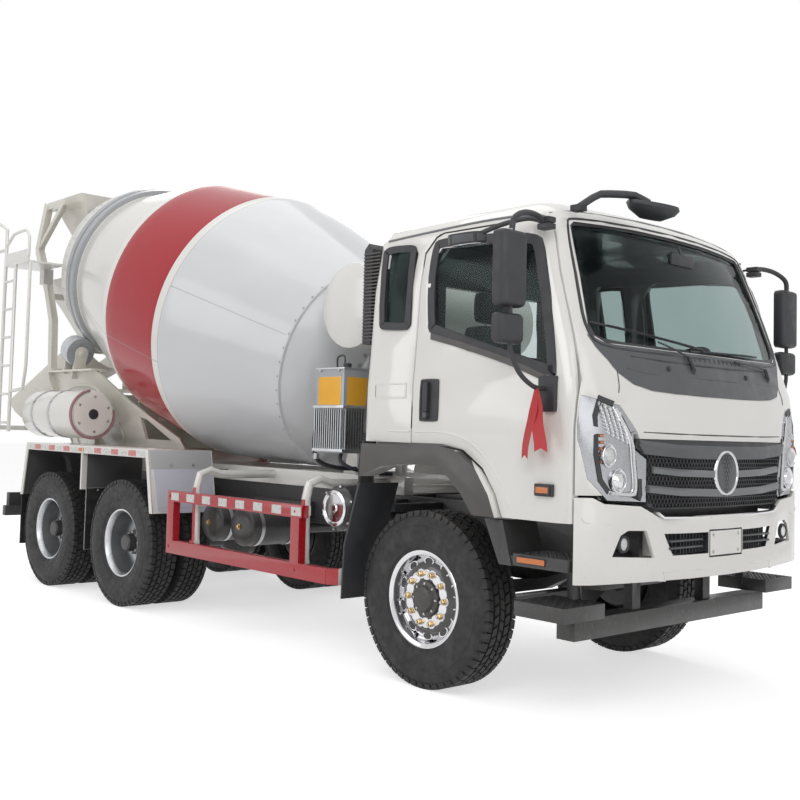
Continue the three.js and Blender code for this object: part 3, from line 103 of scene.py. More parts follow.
# ---------------------------------------------------------------- finishes
class Finish:
    """A node material built step by step from object coordinates."""

    def __init__(self, name, **values):
        self.material = bpy.data.materials.new(name)
        self.material.use_nodes = True
        self.tree = self.material.node_tree
        self.shader = self.tree.nodes["Principled BSDF"]
        self.place = self.node("TexCoord").outputs["Object"]
        for socket, value in values.items():
            self.shader.inputs[socket.replace("_", " ")].default_value = value

    def node(self, kind, **settings):
        made = self.tree.nodes.new("ShaderNode" + kind)
        for key, value in settings.items():
            setattr(made, key, value)
        return made

    def wire(self, output, target):
        self.tree.links.new(output, target)

    def feed(self, output, socket):
        self.wire(output, self.shader.inputs[socket])

    def maths(self, operation, *values):
        made = self.node("Math", operation=operation)
        for slot, value in zip(made.inputs, values):
            if isinstance(value, (int, float)):
                slot.default_value = value
            else:
                self.wire(value, slot)
        return made.outputs[0]

    def dot(self, direction, place=None):
        made = self.node("VectorMath", operation="DOT_PRODUCT")
        self.wire(place or self.place, made.inputs[0])
        made.inputs[1].default_value = direction
        return made.outputs["Value"]

    def noise(self, scale, detail=4.0, stretch=None):
        made = self.node("TexNoise")
        made.inputs["Scale"].default_value = scale
        made.inputs["Detail"].default_value = detail
        place = self.place
        if stretch:
            mapping = self.node("Mapping")
            mapping.inputs["Scale"].default_value = stretch
            self.wire(place, mapping.inputs["Vector"])
            place = mapping.outputs["Vector"]
        self.wire(place, made.inputs["Vector"])
        return made.outputs["Fac"]

    def span(self, value, low, high, new_low=0.0, new_high=1.0):
        made = self.node("MapRange")
        self.wire(value, made.inputs["Value"])
        for socket, number in zip(("From Min", "From Max", "To Min", "To Max"),
                                  (low, high, new_low, new_high)):
            made.inputs[socket].default_value = number
        return made.outputs["Result"]

    def blend(self, share, first, second):
        made = self.node("Mix", data_type="RGBA")
        self.wire(share, made.inputs["Factor"])
        for socket, colour in (("A", first), ("B", second)):
            target = next(i for i in made.inputs if i.name == socket and i.type == "RGBA")
            if isinstance(colour, tuple):
                target.default_value = (*colour, 1)
            else:
                self.wire(colour, target)
        return next(o for o in made.outputs if o.type == "RGBA")

    def relief(self, height, strength, distance=0.002, under=None):
        made = self.node("Bump")
        made.inputs["Strength"].default_value = strength
        made.inputs["Distance"].default_value = distance
        self.wire(height, made.inputs["Height"])
        if under:
            self.wire(under, made.inputs["Normal"])
        self.feed(made.outputs["Normal"], "Normal")
        return made.outputs["Normal"]


def shade(colour, factor):
    return tuple(min(1.0, c * factor) for c in colour)


def paint(name, colour, rough=0.22, dust=0.10, metallic=0.0, coat=0.5):
    """Sprayed paint: waves in the sheet, orange peel, uneven gloss, and dust that thickens low down."""
    finish = Finish(name, Metallic=metallic, Coat_Weight=coat, Coat_Roughness=0.05)
    tone = finish.blend(finish.span(finish.noise(1.3, 3), 0.35, 0.65), shade(colour, 0.955), colour)
    speck = finish.span(finish.noise(46, 8), 0.56, 0.75)
    low = finish.span(finish.dot(Z), 1.5, 0.35, 0.0, dust)
    share = finish.maths("MULTIPLY", low, finish.maths("ADD", speck, 0.35))
    tone = finish.blend(share, tone, (0.34, 0.30, 0.25))
    finish.feed(tone, "Base Color")
    finish.feed(finish.span(finish.noise(7, 5), 0.3, 0.7, rough * 0.9, rough * 1.2), "Roughness")
    waves = finish.relief(finish.noise(2.4, 1), 0.10, 0.02)
    finish.relief(finish.noise(420, 2), 0.05, 0.001, waves)
    return finish.material


def cab_paint(colour, lining, heart):
    """Body paint outside, and moulded lining on all faces that look towards the heart of the cab."""
    material = paint("cab_paint", colour, rough=0.16, dust=0.12)
    tree = material.node_tree
    shader = tree.nodes["Principled BSDF"]
    place = tree.nodes.new("ShaderNodeTexCoord")
    away = tree.nodes.new("ShaderNodeVectorMath")
    away.operation = "SUBTRACT"
    away.inputs[1].default_value = heart
    tree.links.new(place.outputs["Object"], away.inputs[0])
    facing = tree.nodes.new("ShaderNodeVectorMath")
    facing.operation = "DOT_PRODUCT"
    tree.links.new(place.outputs["Normal"], facing.inputs[0])
    tree.links.new(away.outputs[0], facing.inputs[1])
    inward = tree.nodes.new("ShaderNodeMath")
    inward.operation = "LESS_THAN"
    inward.inputs[1].default_value = -0.18
    tree.links.new(facing.outputs["Value"], inward.inputs[0])
    mix = tree.nodes.new("ShaderNodeMix")
    mix.data_type = "RGBA"
    tree.links.new(inward.outputs[0], mix.inputs["Factor"])
    first, second = [i for i in mix.inputs if i.type == "RGBA"]
    tree.links.new(shader.inputs["Base Color"].links[0].from_socket, first)
    second.default_value = (*lining, 1)
    tree.links.new(next(o for o in mix.outputs if o.type == "RGBA"), shader.inputs["Base Color"])
    return material


def rubber(name, colour=(0.024, 0.024, 0.025)):
    finish = Finish(name, Specular_IOR_Level=0.35)
    dusty = finish.span(finish.noise(9, 8), 0.48, 0.78, 0.0, 0.35)
    finish.feed(finish.blend(dusty, colour, (0.11, 0.10, 0.09)), "Base Color")
    finish.feed(finish.span(finish.noise(30, 4), 0.3, 0.7, 0.48, 0.75), "Roughness")
    finish.relief(finish.noise(260, 4), 0.25, 0.001)
    return finish.material


def plastic(name, colour, rough=0.5, grain=520):
    finish = Finish(name, Specular_IOR_Level=0.45)
    finish.feed(finish.blend(finish.noise(5, 4), shade(colour, 0.8), shade(colour, 1.2)),
                "Base Color")
    finish.feed(finish.span(finish.noise(14, 4), 0.3, 0.7, rough * 0.85, rough * 1.2), "Roughness")
    finish.relief(finish.noise(grain, 3), 0.2, 0.0006)
    return finish.material


def metal(name, colour, rough=0.3, stretch=(1, 1, 1), stain=0.2):
    finish = Finish(name, Metallic=1.0)
    brushed = finish.noise(160, 4, stretch)
    tone = finish.blend(finish.span(brushed, 0.3, 0.7), shade(colour, 0.86), colour)
    spots = finish.span(finish.noise(11, 7), 0.5, 0.75, 0.0, stain)
    finish.feed(finish.blend(spots, tone, (0.20, 0.17, 0.14)), "Base Color")
    finish.feed(finish.span(brushed, 0.3, 0.7, rough * 0.7, rough * 1.4), "Roughness")
    finish.relief(brushed, 0.06, 0.0006)
    return finish.material


def glass(name, tint, rough=0.0):
    """Tinted glass that lets light straight through, with a faint film of dust."""
    finish = Finish(name, Transmission_Weight=1.0, IOR=1.12)
    finish.feed(finish.blend(finish.span(finish.noise(4, 6), 0.45, 0.8, 0.0, 0.22), tint,
                             shade(tint, 0.82)), "Base Color")
    finish.shader.inputs["Roughness"].default_value = rough
    return finish.material


def cloth(name, colour):
    """Woven seat cloth: two crossed sets of threads with soft sheen."""
    finish = Finish(name, Sheen_Weight=0.4, Roughness=0.9)
    threads = []
    for stretch in ((900, 900, 40), (40, 900, 900)):
        threads.append(finish.noise(1, 1, stretch))
    weave = finish.maths("MAXIMUM", *threads)
    finish.feed(finish.blend(weave, shade(colour, 0.6), shade(colour, 1.3)), "Base Color")
    finish.relief(weave, 0.5, 0.001)
    return finish.material


def ribbon_weave(name, colour):
    """Thin satin ribbon with fine threads across it."""
    finish = Finish(name, Sheen_Weight=0.08, Specular_IOR_Level=0.5)
    threads = finish.noise(1, 2, (60, 60, 1400))
    finish.feed(finish.blend(threads, shade(colour, 0.75), shade(colour, 1.2)), "Base Color")
    finish.feed(finish.span(threads, 0.3, 0.7, 0.32, 0.5), "Roughness")
    finish.relief(threads, 0.2, 0.0006)
    return finish.material


def glow_plastic(name, colour, rough=0.12):
    """Clear coloured lamp plastic with small ribs."""
    finish = Finish(name, Coat_Weight=0.6, Transmission_Weight=0.25)
    ribs = finish.maths("SINE", finish.maths("MULTIPLY", finish.dot(Z), 900))
    finish.feed(finish.blend(finish.span(ribs, -1, 1), shade(colour, 0.75), shade(colour, 1.15)),
                "Base Color")
    finish.feed(finish.span(finish.noise(20, 3), 0.3, 0.7, rough, rough * 2), "Roughness")
    finish.relief(ribs, 0.15, 0.001)
    return finish.material


WHITE = (0.80, 0.785, 0.75)
RED = (0.40, 0.002, 0.012)
white = paint("white_paint", WHITE)
cream = paint("cream_paint", (0.76, 0.73, 0.66), rough=0.3)
red = paint("red_paint", RED, rough=0.24)
black = paint("black_paint", (0.028, 0.028, 0.030), rough=0.42, dust=0.16, coat=0.1)
grey = paint("grey_paint", (0.36, 0.38, 0.40), rough=0.35)
pale_grey = paint("roller_paint", (0.60, 0.63, 0.67), rough=0.3)
aluminium = metal("aluminium", (0.60, 0.61, 0.63), 0.28, (1, 1, 12))
steel = metal("steel", (0.52, 0.52, 0.53), 0.38, stain=0.4)
chrome = metal("chrome", (0.66, 0.66, 0.68), 0.12, stain=0.15)
wheel_black = paint("wheel_black", (0.020, 0.020, 0.021), rough=0.18, dust=0.12)
lamp_silver = metal("lamp_silver", (0.38, 0.39, 0.41), 0.26, stain=0.15)
worn_steel = metal("worn_steel", (0.34, 0.335, 0.33), 0.55, stain=0.6)
dish_grey = metal("dish_grey", (0.30, 0.31, 0.32), 0.42, stain=0.35)
silver = metal("wheel_silver", (0.62, 0.63, 0.65), 0.34, stain=0.25)
brass = metal("brass", (0.62, 0.44, 0.20), 0.32, stain=0.3)
tyre_rubber = rubber("tyre_rubber")
hose_rubber = rubber("hose_rubber", (0.02, 0.022, 0.03))
dark_plastic = plastic("dark_plastic", (0.030, 0.031, 0.034))
grey_plastic = plastic("grey_plastic", (0.085, 0.088, 0.095), 0.42)
trim_grey = plastic("trim_grey", (0.16, 0.165, 0.175), 0.35)
lining = (0.16, 0.16, 0.165)
tinted = glass("tinted_glass", (0.50, 0.58, 0.57))
clear = glass("clear_cover", (0.93, 0.95, 0.97))
seat_cloth = cloth("seat_cloth", (0.10, 0.10, 0.115))
amber = glow_plastic("amber_lens", (0.86, 0.22, 0.02))
red_lens = glow_plastic("red_lens", (0.55, 0.01, 0.01))
clear_lens = glow_plastic("clear_lens", (0.80, 0.81, 0.82))
arch_grey = plastic("arch_grey", (0.075, 0.068, 0.066), 0.4)
panel_grey = paint("panel_grey", (0.105, 0.105, 0.11), rough=0.4)
flap_rubber = rubber("flap_rubber", (0.014, 0.014, 0.015))
grey_strip = paint("grey_strip", (0.50, 0.50, 0.51), rough=0.35)
lavender = paint("lavender_plate", (0.60, 0.60, 0.68), rough=0.3)
red_reflector = glow_plastic("red_reflector", (0.74, 0.20, 0.18), 0.2)
white_reflector = glow_plastic("white_reflector", (0.82, 0.83, 0.80), 0.2)
# Dusky pink for the tank end's rim: painted shade, tinted with painted red reflection from the drum band.
painted_pink_shade = rubber("painted_pink_shade", (0.36, 0.20, 0.22))
label_orange = plastic("label_orange", (0.86, 0.42, 0.03), 0.35)
ribbon_cloth = ribbon_weave("ribbon_red", (0.46, 0.003, 0.008))
glowing = glow_plastic("light_strip", (0.90, 0.91, 0.93))
grille_black = plastic("grille_black", (0.016, 0.016, 0.018), 0.3)
tint_glass = glass("tint_band", (0.10, 0.22, 0.24))
mirror_face = metal("mirror_face", (0.82, 0.84, 0.86), 0.04, stain=0.05)
cab_skin = cab_paint(WHITE, lining, at(0.3, 0, 1.95))


# ---------------------------------------------------------------- shapes
class Piece:
    """One mesh object put together from simple shapes, each with its own finish."""

    def __init__(self, name, body, slot):
        self.name, self.body, self.slot = name, body, slot
        self.mesh = bmesh.new()
        self.finishes = []

    def index(self, finish):
        if finish not in self.finishes:
            self.finishes.append(finish)
        return self.finishes.index(finish)

    def add(self, points, faces, finish, place=None):
        points = [place @ Vector(p) if place else Vector(p) for p in points]
        made = [self.mesh.verts.new(p) for p in points]
        new = [self.mesh.faces.new([made[i] for i in face]) for face in faces]
        for face in new:
            face.material_index = self.index(finish)
        return new

    def soften(self, faces, width, segments=2):
        self.mesh.normal_update()
        edges = {e for f in faces for e in f.edges}
        sharp = [e for e in edges if len(e.link_faces) == 2 and e.calc_face_angle() > 0.5]
        bmesh.ops.bevel(self.mesh, geom=sharp, offset=width, segments=segments, profile=0.7,
                        affect="EDGES", clamp_overlap=True)

    def block(self, low, high, finish, bevel=0.0, place=None):
        low, high = Vector(low), Vector(high)
        points = [(x, y, z) for x in (low.x, high.x) for y in (low.y, high.y)
                  for z in (low.z, high.z)]
        faces = self.add(points, [(0, 1, 3, 2), (4, 6, 7, 5), (0, 4, 5, 1), (2, 3, 7, 6),
                                  (0, 2, 6, 4), (1, 5, 7, 3)], finish, place)
        if bevel:
            self.soften(faces, bevel)
        return faces

    def lathe(self, profile, finish, place, segments=48, closed=False):
        """Profile of (height, radius) turned round the local Z axis, open or closed on itself."""
        rings = []
        points = []
        for height, radius in profile:
            if radius < 1e-6:
                rings.append([len(points)] * segments)
                points.append((0, 0, height))
                continue
            rings.append(list(range(len(points), len(points) + segments)))
            for i in range(segments):
                angle = 2 * math.pi * i / segments
                points.append((radius * math.cos(angle), radius * math.sin(angle), height))
        if closed:
            rings.append(rings[0])
        faces = []
        for low, high in zip(rings, rings[1:]):
            for i in range(segments):
                j = (i + 1) % segments
                corners = dict.fromkeys((low[i], low[j], high[j], high[i]))
                if len(corners) > 2:
                    faces.append(tuple(corners))
        return self.add(points, faces, finish, place)

    def slab(self, outline, low, high, finish, place=None, bevel=0.0):
        """Outline in the local XY plane, standing from low to high along Z."""
        count = len(outline)
        points = [(*p, low) for p in outline] + [(*p, high) for p in outline]
        faces = [tuple(reversed(range(count))), tuple(range(count, 2 * count))]
        faces += [(i, (i + 1) % count, count + (i + 1) % count, count + i) for i in range(count)]
        new = self.add(points, faces, finish, place)
        if bevel:
            self.soften(new, bevel)
        return new

    def tube(self, route, radius, finish, sides=12, steps=5, closed=False):
        """Round tube along a smooth curve through the route."""
        path = smooth_path([Vector(p) for p in route], steps)
        rings, points = [], []
        side = (path[1] - path[0]).orthogonal().normalized()
        for i, point in enumerate(path):
            ahead = (path[min(i + 1, len(path) - 1)] - path[max(i - 1, 0)]).normalized()
            side = (side - ahead * side.dot(ahead)).normalized()
            other = ahead.cross(side)
            ring = []
            for k in range(sides):
                angle = 2 * math.pi * k / sides
                ring.append(len(points))
                points.append(point + radius * (math.cos(angle) * side + math.sin(angle) * other))
            rings.append(ring)
        faces = [(low[k], low[(k + 1) % sides], high[(k + 1) % sides], high[k])
                 for low, high in zip(rings, rings[1:]) for k in range(sides)]
        faces += [tuple(reversed(rings[0])), tuple(rings[-1])]
        return self.add(points, faces, finish)

    def bolt(self, point, direction, finish, size=0.014, height=0.010):
        place = facing(point, direction)
        self.lathe([(0, 0), (0, size * 1.5), (height * 0.3, size * 1.5), (height * 0.3, size)],
                   finish, place, 12)
        self.lathe([(height * 0.3, size), (height, size * 0.95), (height * 1.15, size * 0.6),
                    (height * 1.15, 0)], finish, place, 6)

    def done(self, sharp=35, replaces=(), bevel=0.0):
        bmesh.ops.recalc_face_normals(self.mesh, faces=self.mesh.faces[:])
        data = bpy.data.meshes.new(self.name)
        self.mesh.to_mesh(data)
        self.mesh.free()
        for finish in self.finishes:
            data.materials.append(finish)
        data.polygons.foreach_set("use_smooth", [True] * len(data.polygons))
        data.set_sharp_from_angle(angle=math.radians(sharp))
        made = bpy.data.objects.new(self.name, data)
        bpy.context.scene.collection.objects.link(made)
        if bevel:
            edge = made.modifiers.new("edge", "BEVEL")
            edge.width, edge.segments, edge.limit_method = bevel, 2, "ANGLE"
            edge.angle_limit = math.radians(sharp)
            edge.harden_normals = True
        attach(made, self.body)
        if replaces:
            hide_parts(*replaces)
        return made


def smooth_path(points, steps):
    """Points of a Catmull-Rom curve through the given ones."""
    if len(points) < 3:
        return points
    ends = [2 * points[0] - points[1], *points, 2 * points[-1] - points[-2]]
    path = []
    for a, b, c, d in zip(ends, ends[1:], ends[2:], ends[3:]):
        for i in range(steps):
            t = i / steps
            path.append(0.5 * (2 * b + (c - a) * t + (2 * a - 5 * b + 4 * c - d) * t ** 2
                               + (3 * b - a - 3 * c + d) * t ** 3))
    return [*path, points[-1]]


def facing(point, direction, upward=None):
    """Matrix that puts the local Z axis along direction, from point."""
    z = Vector(direction).normalized()
    hint = Vector(upward) if upward else (X if abs(z.z) > 0.9 else Z)
    x = hint.cross(z).normalized()
    return Matrix.Translation(point) @ Matrix((x, z.cross(x), z)).transposed().to_4x4()


def arc(radius, start, end, count, centre=(0, 0)):
    """Points on a circle, angles in degrees."""
    angles = [math.radians(start + (end - start) * i / (count - 1)) for i in range(count)]
    return [(centre[0] + radius * math.cos(a), centre[1] + radius * math.sin(a)) for a in angles]


surfaces = {}


def surface(node):
    if node not in surfaces:
        data = NODES[node].data
        surfaces[node] = BVHTree.FromPolygons([v.co for v in data.vertices],
                                              [tuple(p.vertices) for p in data.polygons])
    return surfaces[node]


def touch(node, start, direction):
    """Where a line from start meets a CAD node, or the nearest point if it misses."""
    point, normal, _, _ = surface(node).ray_cast(start, direction)
    if point is None:
        point, normal, _, _ = surface(node).find_nearest(start + direction * 0.5)
    return point, normal


def drape(piece, node, outline, look, finish, lift=0.002, thick=0.0, step=0.08):
    """Lays a flat outline on a CAD node's face, seen along look ("front", "right" or "left")."""
    flat = bmesh.new()
    flat.faces.new([flat.verts.new((u, v, 0)) for u, v in outline])
    bmesh.ops.triangulate(flat, faces=flat.faces[:])
    for _ in range(7):
        long = [e for e in flat.edges if e.calc_length() > step]
        if not long:
            break
        bmesh.ops.subdivide_edges(flat, edges=long, cuts=1)
        bmesh.ops.triangulate(flat, faces=flat.faces[:])
    away = {"front": X, "right": -Y, "left": Y}[look]
    flat.verts.index_update()
    outer, inner = [], []
    for vertex in flat.verts:
        u, v, _ = vertex.co
        start = at(3, u, v) if look == "front" else at(u, away.y * 3, v)
        point, _ = touch(node, start, -away)
        outer.append(point + away * lift)
        inner.append(point + away * (lift - thick))
    faces = [tuple(v.index for v in f.verts) for f in flat.faces]
    rim = [tuple(v.index for v in e.verts) for e in flat.edges if e.is_boundary]
    flat.free()
    if thick:
        count = len(outer)
        walls = [(a, b, b + count, a + count) for a, b in rim]
        back = [tuple(i + count for i in reversed(f)) for f in faces]
        return piece.add(outer + inner, faces + back + walls, finish)
    return piece.add(outer, faces, finish)


# ---------------------------------------------------------------- finishes on the CAD pieces
def dress(finish, *names, bevel=0.004, sharp=32):
    """Gives CAD nodes their finish, with welded points, smooth curves and eased edges."""
    for name in names:
        made = NODES[name]
        made.data.materials.clear()
        made.data.materials.append(finish)
        made.data.polygons.foreach_set("use_smooth", [True] * len(made.data.polygons))
        weld = made.modifiers.new("weld", "WELD")
        weld.merge_threshold = 0.0002
        if bevel:
            edge = made.modifiers.new("edge", "BEVEL")
            edge.width, edge.segments, edge.limit_method = bevel, 2, "ANGLE"
            edge.angle_limit = math.radians(sharp)
            edge.use_clamp_overlap = True
            edge.harden_normals = True
        smooth_by_angle(made, sharp)


def smooth_by_angle(made, sharp):
    """Marks edges sharper than the angle after the other modifiers."""
    split = made.modifiers.new("sharp", "EDGE_SPLIT")
    split.split_angle = math.radians(sharp)
    split.use_edge_sharp = False


def pair(name):
    return [f"{name}_{side}" for side in SIDES]


dress(black, "chassis_frame", "engine_block", "front_axle", "rear_axles", "air_tanks",
      "air_cleaner", "rear_bumper", "tie_rod", *pair("knuckle"), *pair("steps"))
dress(white, "sub_frame", "bumper", "front_pedestal", "water_tank", "additive_tank", "ladder",
      *pair("rear_fender"))
dress(cream, "rear_pedestal", "charge_hopper", "chute_post", "chute_bracket", "main_chute")
dress(aluminium, "fuel_tank")
dress(red, *pair("side_guard"))
dress(grey, "oil_cooler")
dress(pale_grey, *pair("drum_roller"))
dress(dark_plastic, "intake_snorkel", "dashboard", "front_mirror", *pair("mirrors"),
      *pair("front_mudguard"))
dress(seat_cloth, "seat_driver", "seat_passenger", bevel=0.02)
dress(tinted, "windshield", *pair("door_glass"), bevel=0)
dress(cab_skin, "cab_shell", *pair("door"), bevel=0.003)
dress(dark_plastic, "grille", bevel=0.002)
dress(lamp_silver, *pair("headlight"), bevel=0.002)


# ---------------------------------------------------------------- wheels
TYRE_RADIUS = (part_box("front_tyre_right")[1].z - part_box("front_tyre_right")[0].z) / 2
TYRE_HALF = (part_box("front_tyre_right")[1].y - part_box("front_tyre_right")[0].y) / 2
BEAD_RADIUS = 0.274
GROOVE = 0.015


def tyre_section():
    """Half outline of the tyre as (across, radius), from the bead over the sidewall to the tread."""
    tread = TYRE_RADIUS - GROOVE
    wall = [(0.70, 0.0), (0.80, 0.008), (0.86, 0.030), (0.90, 0.034), (0.93, 0.050), (0.985, 0.095),
            (0.995, 0.125), (0.975, 0.160), (0.955, 0.163), (0.93, 0.185), (0.89, 0.205)]
    return [(TYRE_HALF * w, BEAD_RADIUS + r) for w, r in wall] + [
        (TYRE_HALF * 0.84, tread - 0.010), (TYRE_HALF * 0.76, tread), (0, tread + 0.001)]


def tread_block(piece, place, across, width, length, bottom, top, lean):
    """One tread block: wide at its foot, with its end faces at an angle."""
    half, foot = length / 2, 1.12
    points = []
    for height, grow in ((bottom, foot), (top, 1.0)):
        for side, end in ((-1, -1), (1, -1), (1, 1), (-1, 1)):
            points.append((end * half * grow + side * lean, across + side * width / 2, height))
    piece.add(points, [(3, 2, 1, 0), (4, 5, 6, 7), (0, 1, 5, 4), (1, 2, 6, 5), (2, 3, 7, 6),
                       (3, 0, 4, 7)], tyre_rubber, place)


def tyre(piece, centre, pitches=54):
    side = tyre_section()
    profile = side + [(-w, r) for w, r in reversed(side[:-1])]
    piece.lathe([*profile, (-profile[0][0], BEAD_RADIUS - 0.004)], tyre_rubber,
                facing(centre, Y), 96, closed=True)
    pitch = 2 * math.pi * (TYRE_RADIUS - GROOVE) / pitches
    bottom, top = TYRE_RADIUS - GROOVE - 0.004, TYRE_RADIUS - 0.001
    columns = [(-0.70, 0.26, 0.86, 0.004), (-0.34, 0.25, 0.80, -0.008), (0, 0.22, 0.84, 0.008),
               (0.34, 0.25, 0.80, -0.008), (0.70, 0.26, 0.86, 0.004)]
    for i in range(pitches):
        for k, (across, width, share, lean) in enumerate(columns):
            turn = 2 * math.pi * (i + (0.5 if k % 2 else 0)) / pitches
            place = Matrix.Translation(centre) @ Matrix.Rotation(turn, 4, "Y")
            tread_block(piece, place, across * TYRE_HALF, width * TYRE_HALF, pitch * share,
                        bottom, top, lean)
        place = Matrix.Translation(centre) @ Matrix.Rotation(2 * math.pi * i / pitches, 4, "Y")
        for s in (-1, 1):
            piece.add([(u * pitch * 0.36, s * TYRE_HALF * w, TYRE_RADIUS + h)
                       for w, h in ((0.83, -0.002), (0.90, -0.034), (0.86, -0.036))
                       for u in (-1, 1)],
                      [(0, 1, 3, 2), (2, 3, 5, 4), (4, 5, 1, 0), (0, 2, 4), (1, 5, 3)],
                      tyre_rubber, place)


def ring_of(count, radius, centre, first=0.0):
    """Points evenly round a wheel, with the direction out from its middle."""
    for i in range(count):
        angle = 2 * math.pi * (i + first) / count
        spoke = Vector((math.cos(angle), 0, math.sin(angle)))
        yield centre + spoke * radius, spoke


def hand_holes(piece, centre, outward, radius, depth, count, finish, dark):
    """Oval holes in a wheel disc, each a raised rim round a dark bottom."""
    for point, spoke in ring_of(count, radius, centre, 0.5):
        place = facing(point + outward * depth, outward, spoke)
        oval = Matrix.Diagonal((1.35, 0.82, 1, 1))
        piece.lathe([(-0.004, 0.030), (0.003, 0.029), (0.003, 0.024), (-0.010, 0.022)], finish,
                    place @ oval, 24)
        piece.lathe([(-0.004, 0.0235), (-0.004, 0)], dark, place @ oval, 24)


def wheel_nuts(piece, centre, outward, radius, depth, count, finish):
    for point, _ in ring_of(count, radius, centre):
        seat = point + outward * depth
        piece.lathe([(0, 0.022), (0.005, 0.021), (0.005, 0)], steel, facing(seat, outward), 20)
        piece.lathe([(0.005, 0.0175), (0.024, 0.0170), (0.027, 0.013), (0.027, 0.009)], finish,
                    facing(seat, outward), 6)
        piece.lathe([(0.024, 0.0095), (0.036, 0.009), (0.038, 0)], steel, facing(seat, outward), 12)


def front_wheel(side):
    """Polished front wheel: bright rim and disc, black hub, brass nuts."""
    centre, outward = middle(f"front_tyre_{side}"), Y * SIDES[side]
    piece = Piece(f"front_wheel_detail_{side}", f"front_wheel_{side}", "chrome")
    axis = facing(centre, outward)
    lip = [(0.098, 0.262), (0.104, 0.284), (0.113, 0.292), (0.118, 0.288), (0.117, 0.276),
           (0.108, 0.262), (0.085, 0.256), (0.060, 0.252), (0.048, 0.243)]
    piece.lathe(lip + [(0.050, 0.236), (0.062, 0.220)], chrome, axis, 96)
    piece.lathe([(0.062, 0.220), (0.068, 0.212), (0.080, 0.190), (0.084, 0.180), (0.084, 0.100),
                 (0.088, 0.096)], wheel_black, axis, 96)
    piece.lathe([(0.098, 0.262), (-0.098, 0.262), (-0.112, 0.286), (-0.098, 0.270)], black, axis, 64)
    hub = [(0.088, 0.108), (0.098, 0.104), (0.102, 0.094), (0.104, 0.080), (0.112, 0.076),
           (0.122, 0.070), (0.126, 0.062), (0.127, 0.0)]
    piece.lathe(hub, black, axis, 48)
    hand_holes(piece, centre, outward, 0.222, 0.066, 10, chrome, black)
    wheel_nuts(piece, centre, outward, 0.150, 0.086, 10, brass)
    for point, spoke in ring_of(10, 0.142, centre, 0.5):
        place = facing(point + outward * 0.084, outward, spoke) @ Matrix.Diagonal((1.0, 0.85, 1, 1))
        piece.lathe([(0, 0.038), (0.0035, 0.036), (0.005, 0.028), (0.003, 0)], chrome, place, 28)
    for point, spoke in ring_of(10, 0.150, centre):
        place = facing(point + outward * 0.084, outward, spoke)
        piece.lathe([(0, 0.031), (0.003, 0.029), (0.004, 0)], chrome, place, 20)
    for point, _ in ring_of(8, 0.088, centre):
        piece.bolt(point + outward * 0.1, outward, steel, 0.007, 0.006)
    piece.lathe([(0.05, 0.05), (-0.12, 0.05), (-0.12, 0.2), (-0.05, 0.235), (0.045, 0.235)],
                black, axis, 48)
    piece.done(28, [f"front_wheel_{side}"])
    rubber_part = Piece(f"front_tyre_detail_{side}", f"front_wheel_{side}", "tyre_rubber")
    tyre(rubber_part, centre)
    rubber_part.done(30, [f"front_tyre_{side}"])


def twin_wheels(name, side):
    """Twin rear wheels: two lug tyres, deep outer dish, hub and brake drum."""
    node = f"{name}_wheels_{side}"
    centre, outward = middle(node), Y * SIDES[side]
    half = (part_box(node)[1].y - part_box(node)[0].y) / 2
    spacing = half - TYRE_HALF
    piece = Piece(f"{name}_twin_detail_{side}", node, "tyre_rubber")
    for s in (-1, 1):
        tyre(piece, centre + outward * s * spacing)
    axis = facing(centre, outward)
    reach = spacing + 0.1
    piece.lathe([(reach - 0.012, 0.262), (reach - 0.004, 0.284), (reach + 0.004, 0.290),
                 (reach + 0.008, 0.284), (reach + 0.004, 0.268), (reach - 0.02, 0.256),
                 (spacing + 0.060, 0.252)], silver, axis, 96)
    piece.lathe([(spacing + 0.060, 0.252), (spacing + 0.03, 0.249), (spacing - 0.01, 0.240),
                 (0.085, 0.235), (0.060, 0.225), (0.042, 0.205), (0.032, 0.180), (0.030, 0.110)],
                dish_grey, axis, 96)
    piece.lathe([(reach - 0.012, 0.262), (-reach, 0.262), (-reach - 0.004, 0.284),
                 (-reach + 0.01, 0.270)], black, axis, 64)
    piece.lathe([(0.030, 0.118), (0.075, 0.106), (0.150, 0.100), (0.158, 0.092), (0.160, 0.075),
                 (0.215, 0.070), (0.228, 0.060), (0.2315, 0)], black, axis, 48)
    hand_holes(piece, centre, outward, 0.196, 0.038, 10, silver, black)
    wheel_nuts(piece, centre, outward, 0.142, 0.031, 10, steel)
    for point, _ in ring_of(8, 0.086, centre):
        piece.bolt(point + outward * 0.158, outward, steel, 0.008, 0.007)
    piece.lathe([(-0.03, 0.20), (-0.06, 0.238), (-reach, 0.240), (-reach, 0.10), (-0.24, 0.06)],
                black, axis, 48)
    piece.done(30, [node])


for side in SIDES:
    front_wheel(side)
    for name in ("mid", "rear"):
        twin_wheels(name, side)


# ---------------------------------------------------------------- drum
DRUM_AXIS = Vector(JOINTS["drum_spin"]["axis"]).normalized()
DRUM_POINT = Vector(JOINTS["drum_spin"]["pos_m"])
DRUM_UP = Y.cross(DRUM_AXIS) * -1


